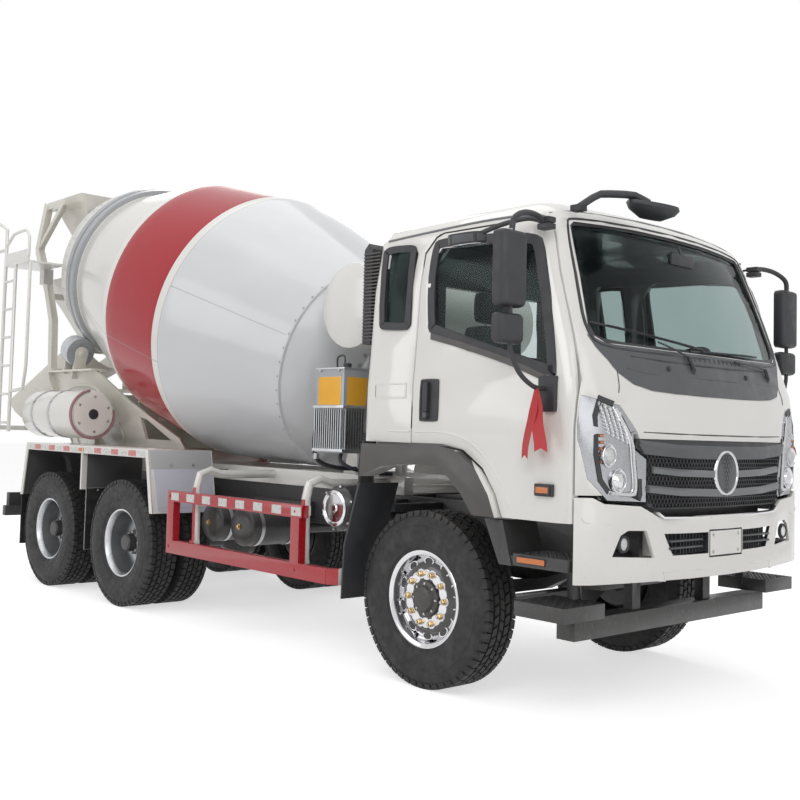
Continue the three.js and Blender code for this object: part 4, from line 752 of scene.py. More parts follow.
def drum_paint():
    """Pale drum with a red band between two off-white stripes, seams, streaks and a cream rear."""
    finish = Finish("drum_paint", Coat_Weight=0.15, Coat_Roughness=0.06, Specular_IOR_Level=0.3)
    offset = finish.node("VectorMath", operation="SUBTRACT")
    finish.wire(finish.place, offset.inputs[0])
    offset.inputs[1].default_value = DRUM_POINT
    station = finish.dot(DRUM_AXIS, offset.outputs[0])
    streak = finish.noise(1.1, 3, (0.35, 2.2, 2.2))
    tone = finish.blend(finish.span(streak, 0.35, 0.7), (0.645, 0.66, 0.675), (0.70, 0.715, 0.73))

    def over(low, high, colour):
        nonlocal tone
        inside = finish.maths("MULTIPLY", finish.maths("GREATER_THAN", station, low),
                              finish.maths("LESS_THAN", station, high))
        tone = finish.blend(inside, tone, colour)

    over(*CREAM_SPAN, (0.74, 0.73, 0.69))
    over(*STRIPE_SPAN, (0.80, 0.79, 0.75))
    over(*BAND_SPAN, RED)
    over(*TRACK_SPAN, (0.42, 0.43, 0.45))
    angle = finish.maths("ARCTAN2", finish.dot(-Y, offset.outputs[0]),
                         finish.dot(DRUM_UP, offset.outputs[0]))
    cone = finish.maths("GREATER_THAN", station, -0.32)
    turned = finish.maths("ADD", angle, finish.maths("MULTIPLY", cone, math.radians(32)))
    ridge = finish.maths("ABSOLUTE", finish.maths(
        "SINE", finish.maths("MULTIPLY", finish.maths("SUBTRACT", turned, math.radians(108)), 1.5)))
    seam = finish.maths("MULTIPLY", finish.maths("LESS_THAN", ridge, 0.006),
                        finish.maths("LESS_THAN", station, 0.92))
    girth = finish.maths("LESS_THAN", finish.maths(
        "ABSOLUTE", finish.maths("ADD", station, 0.318)), 0.004)
    seam = finish.maths("MAXIMUM", seam, girth)
    tone = finish.blend(finish.maths("MULTIPLY", seam, 0.45), tone, (0.26, 0.26, 0.27))
    splash = finish.maths("MULTIPLY", finish.span(finish.noise(17, 8), 0.56, 0.72),
                          finish.span(station, -1.9, -2.9, 0.0, 0.55))
    tone = finish.blend(splash, tone, (0.40, 0.38, 0.35))
    finish.feed(tone, "Base Color")
    finish.feed(finish.span(streak, 0.3, 0.7, 0.12, 0.26), "Roughness")
    waves = finish.relief(finish.noise(1.6, 2), 0.07, 0.03)
    under = finish.relief(seam, 0.3, 0.002, waves)
    finish.relief(finish.noise(380, 2), 0.04, 0.001, under)
    return finish.material


def spiral(piece, start, skin):
    """One mixing blade: a strip wound inside the barrel, standing on its wall."""
    points, faces = [], []
    for i in range(71):
        station = -2.88 + i * 0.05
        wall = inner_radius(station) - 0.002
        turn = start + i * 0.11
        spoke = DRUM_UP * math.cos(turn) + Y * math.sin(turn)
        for depth, shift in ((0, 0), (0.30, 0.03), (0.32, 0.05)):
            points.append(DRUM_POINT + DRUM_AXIS * (station + shift) + spoke * (wall - depth))
            points.append(DRUM_POINT + DRUM_AXIS * (station + shift + 0.008)
                          + spoke * (wall - depth))
        if i:
            p, q = 6 * (i - 1), 6 * i
            for a, b in ((0, 2), (2, 4), (4, 5), (5, 3), (3, 1), (1, 0)):
                faces.append((p + a, p + b, q + b, q + a))
    piece.add(points, faces, skin)


def inner_radius(station):
    for (s0, r0), (s1, r1) in zip(DRUM_INSIDE, DRUM_INSIDE[1:]):
        if s0 <= station <= s1:
            return r0 + (r1 - r0) * (station - s0) / (s1 - s0)
    return DRUM_INSIDE[-1][1]


DRUM_INSIDE = [(-2.93, 0.835), (-2.48, 0.865), (-1.27, 1.163), (-0.32, 1.163), (0.93, 0.830),
               (1.20, 0.30), (1.22, 0.0)]
DRUM_OUTSIDE = [
    (1.289, 0.0), (1.289, 0.295), (1.280, 0.308), (1.245, 0.312), (1.238, 0.335), (1.215, 0.440),
    (1.175, 0.535), (1.125, 0.640), (1.060, 0.733), (1.000, 0.793), (0.962, 0.826), (0.958, 0.846),
    (0.952, 0.850), (0.930, 0.854), (0.926, 0.848), (0.300, 1.012), (-0.220, 1.150),
    (-0.300, 1.169), (-0.380, 1.177), (-0.480, 1.179), (-1.120, 1.179), (-1.210, 1.177),
    (-1.290, 1.168), (-1.370, 1.152), (-2.470, 0.883), (-2.478, 0.890), (-2.480, 0.925),
    (-2.486, 0.934), (-2.542, 0.934), (-2.548, 0.918), (-2.572, 0.918), (-2.578, 0.934),
    (-2.634, 0.934), (-2.640, 0.925), (-2.642, 0.886), (-2.650, 0.879), (-2.895, 0.844),
    (-2.905, 0.851), (-2.922, 0.851), (-2.930, 0.843)]
BAND_SPAN = (-1.26, -0.41)
STRIPE_SPAN = (-1.36, -0.32)
CREAM_SPAN = (-3.1, -1.36)
TRACK_SPAN = (-2.645, -2.476)


def drum():
    skin = drum_paint()
    piece = Piece("drum_detail", "drum", "drum_paint")
    axis = facing(DRUM_POINT, DRUM_AXIS)
    piece.lathe(DRUM_OUTSIDE, skin, axis, 160)
    piece.lathe([DRUM_OUTSIDE[-1]] + DRUM_INSIDE, worn_steel, axis, 96)
    for start in (0.4, 0.4 + math.pi):
        spiral(piece, start, worn_steel)
    for i in range(48):
        turn = 2 * math.pi * i / 48
        spoke = DRUM_UP * math.cos(turn) + Y * math.sin(turn)
        piece.bolt(DRUM_POINT + DRUM_AXIS * 0.941 + spoke * 0.852, spoke, steel, 0.007, 0.005)
    for i in range(24):
        turn = 2 * math.pi * i / 24
        spoke = DRUM_UP * math.cos(turn) + Y * math.sin(turn)
        piece.bolt(DRUM_POINT + DRUM_AXIS * 1.242 + spoke * 0.335, DRUM_AXIS, steel, 0.012, 0.010)
    piece.done(24, ["drum"])


drum()


# ---------------------------------------------------------------- trim laid on the cab
def inset(outline, distance):
    """The outline moved inwards by a distance (outwards if negative)."""
    count = len(outline)
    area = sum(outline[i - 1][0] * outline[i][1] - outline[i][0] * outline[i - 1][1]
               for i in range(count))
    turn = 1 if area > 0 else -1
    moved = []
    for i in range(count):
        before, here, after = (Vector(outline[k % count]) for k in (i - 1, i, i + 1))
        a, b = (here - before).normalized(), (after - here).normalized()
        normals = [Vector((-e.y, e.x)) * turn for e in (a, b)]
        bisector = (normals[0] + normals[1]).normalized()
        moved.append(tuple(here + bisector * distance / max(0.4, bisector.dot(normals[0]))))
    return moved


def rounded(outline, rounds=2):
    """Cuts the corners of an outline until it looks smooth."""
    for _ in range(rounds):
        cut = []
        for i, here in enumerate(outline):
            here, after = Vector(here), Vector(outline[(i + 1) % len(outline)])
            cut += [tuple(here.lerp(after, 0.25)), tuple(here.lerp(after, 0.75))]
        outline = cut
    return outline


def onto(nodes, u, v, look):
    """The first point of the CAD nodes seen at (u, v) along look."""
    away = {"front": X, "right": -Y, "left": Y, "rear": -X}[look]
    start = at(3, u, v) if look == "front" else at(u, away.y * 3, v)
    if look == "rear":
        start = at(-8, u, v)
    hits = [surface(node).ray_cast(start, -away)[0] for node in nodes]
    hits = [hit for hit in hits if hit is not None]
    if not hits:
        return touch(nodes[0], start, -away)[0], away
    return min(hits, key=lambda hit: (hit - start).length), away


def band(piece, nodes, outer, inner, look, finish, lift=0.003, thick=0.012):
    """A raised strip between two outlines with as many points, laid on CAD nodes."""
    rings = []
    for outline, level in ((outer, -thick), (outer, lift), (inner, lift), (inner, -thick)):
        ring = []
        for u, v in outline:
            point, away = onto(nodes, u, v, look)
            ring.append(point + away * level)
        rings.append(ring)
    count = len(outer)
    points = [p for ring in rings for p in ring]
    faces = [(r * count + i, r * count + (i + 1) % count, (r + 1) % 4 * count + (i + 1) % count,
              (r + 1) % 4 * count + i) for r in range(4) for i in range(count)]
    piece.add(points, faces, finish)


def mirrored(half):
    """A front outline given for y > 0, top to bottom, completed on the other side."""
    return half + [(-u, v) for u, v in reversed(half)]


def line_on(piece, nodes, points, look, radius, finish, lift=0.0, sides=8, steps=6):
    """A round bead along points laid on CAD nodes."""
    route = []
    for u, v in points:
        point, away = onto(nodes, u, v, look)
        route.append(point + away * lift)
    piece.tube(route, radius, finish, sides, steps)


WINDSHIELD = mirrored([(0.4, 2.732), (0.87, 2.718), (0.908, 2.69), (0.965, 2.36), (1.0, 2.072),
                       (0.9, 2.024), (0.4, 2.012)])
COWL = mirrored([(0.4, 2.008), (0.9, 2.020), (1.02, 2.066), (0.985, 2.0), (0.921, 1.93),
                 (0.875, 1.868), (0.78, 1.805), (0.65, 1.778), (0.45, 1.768), (0.2, 1.763)])


def wiper(piece, pivot, bend, end, tips):
    """Wiper arm with a hinged head, and a blade laid along the glass."""
    pivot, bend, end = at(*pivot), at(*bend), at(*end)
    piece.lathe([(-0.03, 0.022), (0.004, 0.022), (0.010, 0.017), (0.012, 0)], dark_plastic,
                facing(pivot, X), 20)
    piece.tube([pivot + X * 0.012, bend + X * 0.02], 0.011, dark_plastic, 8)
    piece.tube([bend + X * 0.02, (bend + end) / 2 + X * 0.03, end + X * 0.022], 0.0055,
               dark_plastic, 8)
    blade = []
    for i in range(9):
        y = tips[0][0] + (tips[1][0] - tips[0][0]) * i / 8
        z = tips[0][1] + (tips[1][1] - tips[0][1]) * i / 8
        point, _ = onto(["windshield", "cab_shell"], y, z, "front")
        blade.append(point + X * 0.014)
    piece.tube(blade, 0.007, dark_plastic, 6, 1)
    piece.tube([p + X * 0.013 for p in blade[1:-1]], 0.006, hose_rubber, 6, 1)


def cab_front():
    shell = ["cab_shell"]
    piece = Piece("windshield_trim", "cab", "plastic")
    glass_edge = rounded(WINDSHIELD)
    band(piece, ["windshield", "cab_shell"], inset(glass_edge, -0.030), inset(glass_edge, 0.016),
         "front", dark_plastic, 0.007)
    drape(piece, "cab_shell", COWL, "front", grey_plastic, 0.004)
    line_on(piece, shell, [(-0.797, 1.892), (-0.597, 1.872), (0, 1.868), (0.6, 1.870),
                           (0.865, 1.876)], "front", 0.006, grey_plastic, 0.002)
    line_on(piece, shell, [(-0.75, 1.960), (-0.4, 1.945), (0, 1.94), (0.4, 1.945),
                           (0.75, 1.960)], "front", 0.005, dark_plastic, 0.002)
    for y, z in ((-0.469, 1.906), (0.337, 1.898)):
        point, _ = onto(shell, y, z, "front")
        piece.lathe([(0, 0.016), (0.012, 0.014), (0.016, 0.006), (0.016, 0)], dark_plastic,
                    facing(point, X), 16)
    for i in range(13):
        y = -0.30 + i * 0.05
        line_on(piece, shell, [(y, 1.965), (y, 1.99)], "front", 0.006, dark_plastic, 0.002, 6, 1)
    wiper(piece, (1.268, -0.249, 1.906), (1.241, -0.285, 1.983), (1.195, -0.522, 2.054),
          ((-0.98, 2.135), (-0.07, 2.035)))
    wiper(piece, (1.222, 0.68, 1.903), (1.205, 0.655, 1.969), (1.235, 0.23, 1.99),
          ((-0.222, 2.022), (0.62, 2.045)))
    piece.done(35)

    seams = Piece("front_panel_seams", "cab", "white_paint")
    for s in (-1, 1):
        line_on(seams, shell, [(s * 0.872, 1.875), (s * 0.885, 1.80), (s * 0.893, 1.755)], "front",
                0.0035, dark_plastic, -0.001)
        line_on(seams, shell, [(s * 1.0, 2.755), (s * 0.8, 2.79), (s * 0.3, 2.81), (0, 2.812)], "front", 0.004,
                trim_grey, 0)
    line_on(seams, shell, [(-0.74, 1.553), (-0.4, 1.548), (0, 1.547), (0.4, 1.548),
                           (0.74, 1.553)], "front", 0.0035, dark_plastic, -0.001)
    seams.done(35)

    tint = Piece("windshield_tint", "cab", "glass")
    drape(tint, "windshield", mirrored([(0.4, 2.725), (0.865, 2.712), (0.895, 2.675),
                                        (0.4, 2.682)]), "front", tint_glass, 0.0015)
    tint.done(35)


def headlight(side):
    """Dark housing with a cluster of small lamps, a projector, a bowl and a light strip."""
    node, s = f"headlight_{side}", SIDES[side]
    piece = Piece(f"headlight_detail_{side}", "cab", "lamp")

    def face(y, z):
        point, normal = touch(node, at(3, s * y, z), -X)
        return point, (normal + X).normalized()

    outline = rounded([(1.066, 1.73), (0.90, 1.682), (0.80, 1.505), (0.760, 1.235), (0.775, 1.192),
                       (0.95, 1.208), (1.060, 1.33)], 1)
    outline = [(s * u, v) for u, v in outline]
    band(piece, [node, "cab_shell"], inset(outline, -0.018), inset(outline, 0.011), "front",
         dark_plastic, 0.005)
    edge = [(0.905, 1.665), (0.808, 1.50), (0.785, 1.38), (0.770, 1.25), (0.80, 1.212),
            (0.94, 1.222)]
    for offset, finish, thick in ((0.022, glowing, 0.009), (0.042, chrome, 0.005)):
        route = []
        for y, z in edge:
            point, normal = face(y + offset, z + offset * 0.4)
            route.append(point + normal * 0.003)
        piece.tube(route, thick, finish, 8, 6)
    for row in range(8):
        for column in range(5):
            y = 0.905 + column * 0.033 - row * 0.006
            z = 1.645 - row * 0.021 + column * 0.012
            point, normal = face(y, z)
            place = facing(point + normal * 0.002, normal)
            piece.lathe([(-0.004, 0.012), (0.004, 0.0115), (0.003, 0.0085), (0.0, 0.0075)],
                        chrome, place, 10)
            piece.lathe([(0.0, 0.0078), (0.0045, 0.005), (0.005, 0)], clear_lens, place, 8)
    for y, z, radius, heart in ((0.985, 1.425, 0.056, clear_lens), (0.915, 1.295, 0.060, chrome)):
        point, normal = face(y, z)
        place = facing(point + normal * 0.001, X)
        piece.lathe([(-0.02, radius * 1.1), (0.010, radius * 1.08), (0.012, radius),
                     (0.002, radius * 0.80), (0.0, radius * 0.76)], chrome, place, 40)
        piece.lathe([(0.0, radius * 0.76), (0.016, radius * 0.60), (0.024, radius * 0.3),
                     (0.026, 0)], heart, place, 32)
    for i in range(5):
        point, normal = face(1.035 - i * 0.002, 1.53 - i * 0.034)
        piece.block(point + Vector((-0.01, -0.018, -0.010)), point + Vector((0.006, 0.018, 0.006)),
                    amber, 0.003)
    piece.done(35)


def honeycomb(piece, node, outline, pitch, finish):
    """Small hexagonal cells on a CAD node's front, wherever they fall inside an outline."""
    radius = pitch / math.sqrt(3)
    low = [min(p[k] for p in outline) for k in (0, 1)]
    high = [max(p[k] for p in outline) for k in (0, 1)]
    rows = int((high[1] - low[1]) / (radius * 1.5)) + 1
    columns = int((high[0] - low[0]) / pitch) + 1
    for row in range(rows):
        for column in range(columns):
            y = low[0] + (column + (row % 2) / 2) * pitch
            z = low[1] + row * radius * 1.5
            if not inside_outline((y, z), outline):
                continue
            hit = surface(node).ray_cast(at(3, y, z), -X)[0]
            if hit is None:
                continue
            ring = [(math.sin(math.radians(60 * k)), math.cos(math.radians(60 * k)))
                    for k in range(6)]
            points = []
            for share, lift in ((1.0, 0.006), (0.80, 0.006), (0.72, -0.002)):
                points += [hit + Vector((lift, radius * share * a, radius * share * b))
                           for a, b in ring]
            faces = [(6 * r + k, 6 * r + (k + 1) % 6, 6 * r + 6 + (k + 1) % 6, 6 * r + 6 + k)
                     for r in range(2) for k in range(6)]
            piece.add(points, faces, finish)


def inside_outline(point, outline):
    inside = False
    for (y0, z0), (y1, z1) in zip(outline, outline[1:] + outline[:1]):
        if (z0 > point[1]) != (z1 > point[1]):
            if point[0] < (y1 - y0) * (point[1] - z0) / (z1 - z0) + y0:
                inside = not inside
    return inside


def slat(piece, node, half, finish, lift):
    """A level bar across the front with tapered ends, from (y, top, bottom) stations."""
    stations = half + [(-y, top, bottom) for y, top, bottom in reversed(half)][1:]
    outer, back = [], []
    for y, top, bottom in stations:
        point, _ = onto([node, "cab_shell"], y, (top + bottom) / 2, "front")
        rows = ((top, lift * 0.35), (top - (top - bottom) * 0.3, lift), (bottom, lift * 0.8))
        outer.append([Vector((min(point.x + out, CAD_BOX[1].x - 0.0065), y, z)) for z, out in rows])
        back.append([Vector((point.x - 0.02, y, z)) for z, _ in rows])
    points, faces = [], []
    for i, (front, rear) in enumerate(zip(outer, back)):
        points += front + [rear[2], rear[0]]
        if i:
            p, q = 5 * (i - 1), 5 * i
            faces += [(p + k, p + (k + 1) % 5, q + (k + 1) % 5, q + k) for k in range(5)]
    last = 5 * (len(outer) - 1)
    faces += [(4, 3, 2, 1, 0), tuple(last + k for k in range(5))]
    piece.add(points, faces, finish)


def across(half, count=9):
    """Stations (y, top, bottom) evenly between the given ones, from the widest to the middle."""
    spread = []
    for (y0, t0, b0), (y1, t1, b1) in zip(half, half[1:]):
        for i in range(count):
            k = i / count
            spread.append((y0 + (y1 - y0) * k, t0 + (t1 - t0) * k, b0 + (b1 - b0) * k))
    return [*spread, half[-1]]


def grille():
    piece = Piece("grille_detail", "cab", "plastic")
    mesh = mirrored([(0.72, 1.43), (0.735, 1.30), (0.70, 1.175), (0.60, 1.135)])
    honeycomb(piece, "grille", mesh, 0.028, grille_black)
    slat(piece, "grille", across([(0.782, 1.512, 1.482), (0.745, 1.508, 1.436),
                                  (0.45, 1.490, 1.418), (0, 1.486, 1.410)]), grey_plastic, 0.020)
    slat(piece, "grille", across([(0.742, 1.377, 1.340), (0.45, 1.357, 1.318),
                                  (0.0, 1.345, 1.306)]), trim_grey, 0.020)
    slat(piece, "grille", across([(0.735, 1.274, 1.234), (0.45, 1.254, 1.212),
                                  (0.0, 1.242, 1.200)]), trim_grey, 0.020)
    slat(piece, "grille", across([(0.705, 1.166, 1.150), (0.60, 1.108, 1.092),
                                  (0.3, 1.100, 1.086), (0, 1.098, 1.084)], 5), chrome, 0.012)
    piece.block(at(1.06, -0.68, 1.02), at(1.17, 0.68, 1.16), grille_black)
    badge, _ = onto(["grille"], -0.025, 1.335, "front")
    place = facing(Vector((min(badge.x + 0.004, CAD_BOX[1].x - 0.031), 0, 1.335)), X) @ Matrix.Diagonal((0.97, 1.0, 1, 1))
    piece.lathe([(-0.01, 0.136), (0.020, 0.134), (0.030, 0.126), (0.030, 0.116), (0.022, 0.110)],
                chrome, place, 64)
    piece.lathe([(0.0235, 0.116), (0.0255, 0.112), (0.0260, 0.08), (0.0265, 0)], grey_plastic,
                place, 48)
    piece.done(35)


def carved(node, name, body, slot, cutters, finish):
    """A copy of a CAD node with pockets cut in it, which stands for the node."""
    made = bpy.data.objects.new(name, NODES[node].data.copy())
    bpy.context.scene.collection.objects.link(made)
    made.data.materials.clear()
    made.data.materials.append(finish)
    tool = Piece("cutter", body, slot)
    for points, low, high, inside in cutters:
        place = Matrix(((0, 0, 1, 0), (1, 0, 0, 0), (0, 1, 0, 0), (0, 0, 0, 1)))
        tool.slab(points, at(low, 0, 0).x, at(high, 0, 0).x, inside, place)
    bmesh.ops.recalc_face_normals(tool.mesh, faces=tool.mesh.faces[:])
    data = bpy.data.meshes.new("cutter")
    tool.mesh.to_mesh(data)
    tool.mesh.free()
    for inside in tool.finishes:
        data.materials.append(inside)
    cutter = bpy.data.objects.new("cutter", data)
    bpy.context.scene.collection.objects.link(cutter)
    weld = made.modifiers.new("weld", "WELD")
    weld.merge_threshold = 0.0002
    cut = made.modifiers.new("cut", "BOOLEAN")
    cut.object, cut.operation, cut.solver = cutter, "DIFFERENCE", "EXACT"
    cut.material_mode = "TRANSFER"
    graph = bpy.context.evaluated_depsgraph_get()
    shape = bpy.data.meshes.new_from_object(made.evaluated_get(graph))
    made.modifiers.clear()
    made.data = shape
    bpy.data.objects.remove(cutter)
    made.data.polygons.foreach_set("use_smooth", [True] * len(made.data.polygons))
    edge = made.modifiers.new("edge", "BEVEL")
    edge.width, edge.segments, edge.limit_method = 0.006, 2, "ANGLE"
    edge.angle_limit = math.radians(32)
    edge.harden_normals = True
    smooth_by_angle(made, 32)
    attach(made, body)
    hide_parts(node)
    return made


def bumper():
    """Bumper with lamp pockets, air intakes and a raised lower lip."""
    low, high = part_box("bumper")
    cutters = []
    for s in (-1, 1):
        for outline, depth in (([(0.898, 1.008), (0.846, 1.033), (0.715, 1.030), (0.65, 0.885),
                                 (0.954, 0.901)], 0.024),
                               ([(0.574, 1.009), (0.187, 1.006), (0.186, 0.891),
                                 (0.506, 0.892)], 0.045)):
            points = [(s * y, z) for y, z in outline]
            front = min(onto(["bumper"], y, z, "front")[0].x for y, z in points) - FRONT_AXLE
            finish = white if depth < 0.03 else dark_plastic
            cutters.append((points, front - depth, high.x - FRONT_AXLE + 0.1, finish))
    plate = [(-0.177, 0.867), (0.177, 0.867), (0.177, 1.019), (-0.177, 1.019)]
    plate_front = max(onto(["bumper"], y, 0.94, "front")[0].x for y in (-0.15, 0, 0.15))
    cutters.append((plate, plate_front - FRONT_AXLE - 0.022, high.x - FRONT_AXLE + 0.1,
                    dark_plastic))
    carved("bumper", "bumper_detail", "chassis", "white_paint", cutters, white)
    piece = Piece("bumper_fittings", "chassis", "plastic")
    for s in (-1, 1):
        point, _ = onto(["bumper"], s * 0.86, 0.962, "front")
        place = facing(point - X * 0.024, X)
        piece.lathe([(0, 0.048), (0.014, 0.044), (0.018, 0.038), (0.012, 0.032)], dark_plastic,
                    place, 32)
        piece.lathe([(0.008, 0.034), (0.016, 0.024), (0.019, 0.0)], clear_lens, place, 24)
        for z in (0.930, 0.968):
            point, _ = onto(["bumper"], s * 0.36, z, "front")
            piece.block((point.x - 0.04, s * 0.375 - 0.165, z - 0.006),
                        (point.x - 0.012, s * 0.375 + 0.165, z + 0.006), grey_plastic, 0.003)
        for i in range(11):
            y = s * (0.215 + i * 0.030)
            point, _ = onto(["bumper"], y, 0.95, "front")
            piece.block((point.x - 0.044, y - 0.003, 0.895), (point.x - 0.022, y + 0.003, 1.004),
                        dark_plastic)
    plate_front -= 0.012
    piece.block((plate_front - 0.012, -0.172, 0.872), (plate_front + 0.004, 0.172, 1.014),
                white, 0.003)
    for y in (-0.135, 0.135):
        for z in (0.895, 0.99):
            piece.bolt(Vector((plate_front + 0.004, y, z)), X, steel, 0.007, 0.005)
    lip = [(s * y, z) for s, run in ((-1, ((1.12, 0.800), (0.717, 0.752), (0.586, 0.806),
                                          (0.3, 0.808))), (1, ((0.3, 0.808), (0.586, 0.806),
                                                               (0.717, 0.752), (1.12, 0.800))))
           for y, z in run]
    line_on(piece, ["bumper"], lip, "front", 0.005, white, 0.0, 8, 1)
    for y in (-1.02, 1.02):
        line_on(piece, ["bumper"], [(y * 1.12, 1.10), (y * 1.09, 1.078), (y * 0.95, 1.07)], "front",
                0.004, white, 0.0, 8, 3)
    piece.done(35)


cab_front()
grille()
bumper()
for side in SIDES:
    headlight(side)


# ---------------------------------------------------------------- cab sides
DOOR_WINDOW = [(0.074, 2.135), (0.030, 2.646), (0.104, 2.681), (0.785, 2.637), (0.886, 2.561),
               (1.041, 1.852), (1.015, 1.834), (0.112, 2.108)]
QUARTER_WINDOW = [(-0.349, 2.185), (-0.392, 2.640), (-0.384, 2.662), (-0.334, 2.678),
                  (-0.155, 2.668), (-0.118, 2.655), (-0.103, 2.618), (-0.081, 2.178),
                  (-0.090, 2.155), (-0.118, 2.141), (-0.308, 2.155), (-0.338, 2.162)]


def reface(node, finish, chosen):
    """Gives the chosen faces of a CAD node another finish."""
    data = NODES[node].data
    data.materials.append(finish)
    for polygon in data.polygons:
        if chosen(polygon.center, polygon.normal):
            polygon.material_index = len(data.materials) - 1


def strip(piece, nodes, points, width, look, finish, lift=0.003, thick=0.008):
    """A flat raised strip along a line of points laid on CAD nodes."""
    outer, inner = [], []
    for i, here in enumerate(points):
        before, after = points[max(i - 1, 0)], points[min(i + 1, len(points) - 1)]
        run = (Vector(after) - Vector(before)).normalized()
        side = Vector((-run.y, run.x)) * width / 2
        outer.append(tuple(Vector(here) + side))
        inner.append(tuple(Vector(here) - side))
    rings = []
    for outline, level in ((outer, -thick), (outer, lift), (inner, lift), (inner, -thick)):
        rings.append([])
        for u, v in outline:
            point, away = onto(nodes, u, v, look)
            rings[-1].append(point + away * level)
    count = len(points)
    flat = [p for ring in rings for p in ring]
    faces = [(r * count + i, r * count + i + 1, (r + 1) % 4 * count + i + 1,
              (r + 1) % 4 * count + i) for r in range(4) for i in range(count - 1)]
    faces += [(0, count, 2 * count, 3 * count),
              tuple(k * count + count - 1 for k in (3, 2, 1, 0))]
    piece.add(flat, faces, finish)


def curve(points, steps=6):
    return [tuple(p.xy) for p in smooth_path([Vector((*p, 0)) for p in points], steps)]


def flank(z):
    """Half width of the cab's side panels at a height."""
    levels = ((1.0, 1.2), (1.56, 1.2), (1.8, 1.196), (2.03, 1.176), (2.4, 1.150), (2.712, 1.092),
              (3.0, 1.04))
    for (z0, y0), (z1, y1) in zip(levels, levels[1:]):
        if z0 <= z <= z1:
            return y0 + (y1 - y0) * (z - z0) / (z1 - z0)
    return levels[-1][1]


def flank_band(piece, side, outer, inner, finish, lift=0.005, thick=0.02):
    """A raised strip between two outlines, in the plane of the cab's side."""
    s, rings = SIDES[side], []
    for outline, level in ((outer, -thick), (outer, lift), (inner, lift), (inner, -thick)):
        rings.append([at(x, s * (flank(z) + level), z) for x, z in outline])
    count = len(outer)
    points = [p for ring in rings for p in ring]
    faces = [(r * count + i, r * count + (i + 1) % count, (r + 1) % 4 * count + (i + 1) % count,
              (r + 1) % 4 * count + i) for r in range(4) for i in range(count)]
    piece.add(points, faces, finish)


def corners(low, high, radius, count=5):
    """A rectangle's outline with round corners."""
    points = []
    for (u, v), start in (((high[0] - radius, high[1] - radius), 0),
                          ((low[0] + radius, high[1] - radius), 90),
                          ((low[0] + radius, low[1] + radius), 180),
                          ((high[0] - radius, low[1] + radius), 270)):
        points += arc(radius, start, start + 90, count, (u, v))
    return points


def cab_side(side):
    s, shell, door = SIDES[side], "cab_shell", f"door_{side}"
    piece = Piece(f"door_trim_{side}", door, "plastic")
    seal = rounded(DOOR_WINDOW)
    flank_band(piece, side, inset(seal, -0.010), inset(seal, 0.046), dark_plastic, 0.003)
    sill = curve([(0.10, 2.105), (0.35, 2.042), (0.7, 1.939), (1.01, 1.826)], 4)
    under = [(x, z - 0.034) for x, z in reversed(sill)]
    flank_band(piece, side, inset(sill + under, -0.001), inset(sill + under, 0.012), arch_grey,
               0.006)
    flank_band(piece, side, inset(sill + under, 0.012), inset(sill + under, 0.0165), arch_grey,
               0.006)
    handle = rounded([(0.05, 1.595), (0.05, 1.822), (0.065, 1.83), (0.185, 1.83), (0.195, 1.82),
                      (0.195, 1.597), (0.185, 1.587), (0.06, 1.587)], 1)
    drape(piece, door, handle, side, dark_plastic, 0.003)
    band(piece, [door], inset(handle, -0.004), inset(handle, 0.008), side, dark_plastic, 0.007)
    point, away = onto([door], 0.122, 1.71, side)
    for low, high, finish in ((1.600, 1.640, grey_plastic), (1.640, 1.815, dark_plastic)):
        piece.block(at(0.085, min(point.y, point.y + s * 0.026), low),
                    at(0.125, max(point.y, point.y + s * 0.026), high), finish, 0.008)
    point, away = onto([door], 0.99, 1.235, side)
    piece.block(at(0.932, min(point.y, point.y + s * 0.024), 1.203),
                at(1.048, max(point.y, point.y + s * 0.024), 1.268), dark_plastic, 0.006)
    piece.block(at(0.940, min(point.y + s * 0.004, point.y + s * 0.034), 1.210),
                at(1.040, max(point.y + s * 0.004, point.y + s * 0.034), 1.261), amber, 0.010)
    arch = curve([(0.01, 1.522), (0.22, 1.522), (0.38, 1.495), (0.52, 1.425), (0.66, 1.285),
                  (0.74, 1.13)])
    line_on(piece, [door], arch, side, 0.007, cab_skin, -0.003, 8, 1)
    piece.done(35)

    body = Piece(f"cab_side_trim_{side}", "cab", "plastic")
    outer = rounded(QUARTER_WINDOW, 1)
    quarter = inset(outer, 0.040)
    flank_band(body, side, inset(outer, -0.006), quarter, dark_plastic, 0.012)
    box_line = [(-0.353, 1.725), (-0.353, 1.81), (-0.08, 1.81), (-0.08, 1.725)]
    band(body, [shell], inset(box_line, -0.005), inset(box_line, 0.005), side, cab_skin, 0.0035)
    line_on(body, [shell], curve([(-0.376, 2.722), (-0.081, 2.737), (0.39, 2.753), (0.75, 2.742),
                                  (0.86, 2.715)], 4), side, 0.008, trim_grey, 0.002, 8, 1)
    line_on(body, [shell], [(-0.44, 1.522), (-0.2, 1.522), (-0.035, 1.522)], side, 0.007, cab_skin,
            -0.003, 8, 1)
    body.done(35)

    pane = Piece(f"quarter_glass_{side}", "cab", "glass")
    outline = inset(quarter, -0.012)
    count = len(outline)
    points = [at(x, s * (flank(z) - depth), z) for depth in (0.010, 0.015) for x, z in outline]
    pane.add(points, [tuple(range(count)), tuple(reversed(range(count, 2 * count)))]
             + [(i, (i + 1) % count, count + (i + 1) % count, count + i) for i in range(count)],
             tinted)
    pane.done(35)


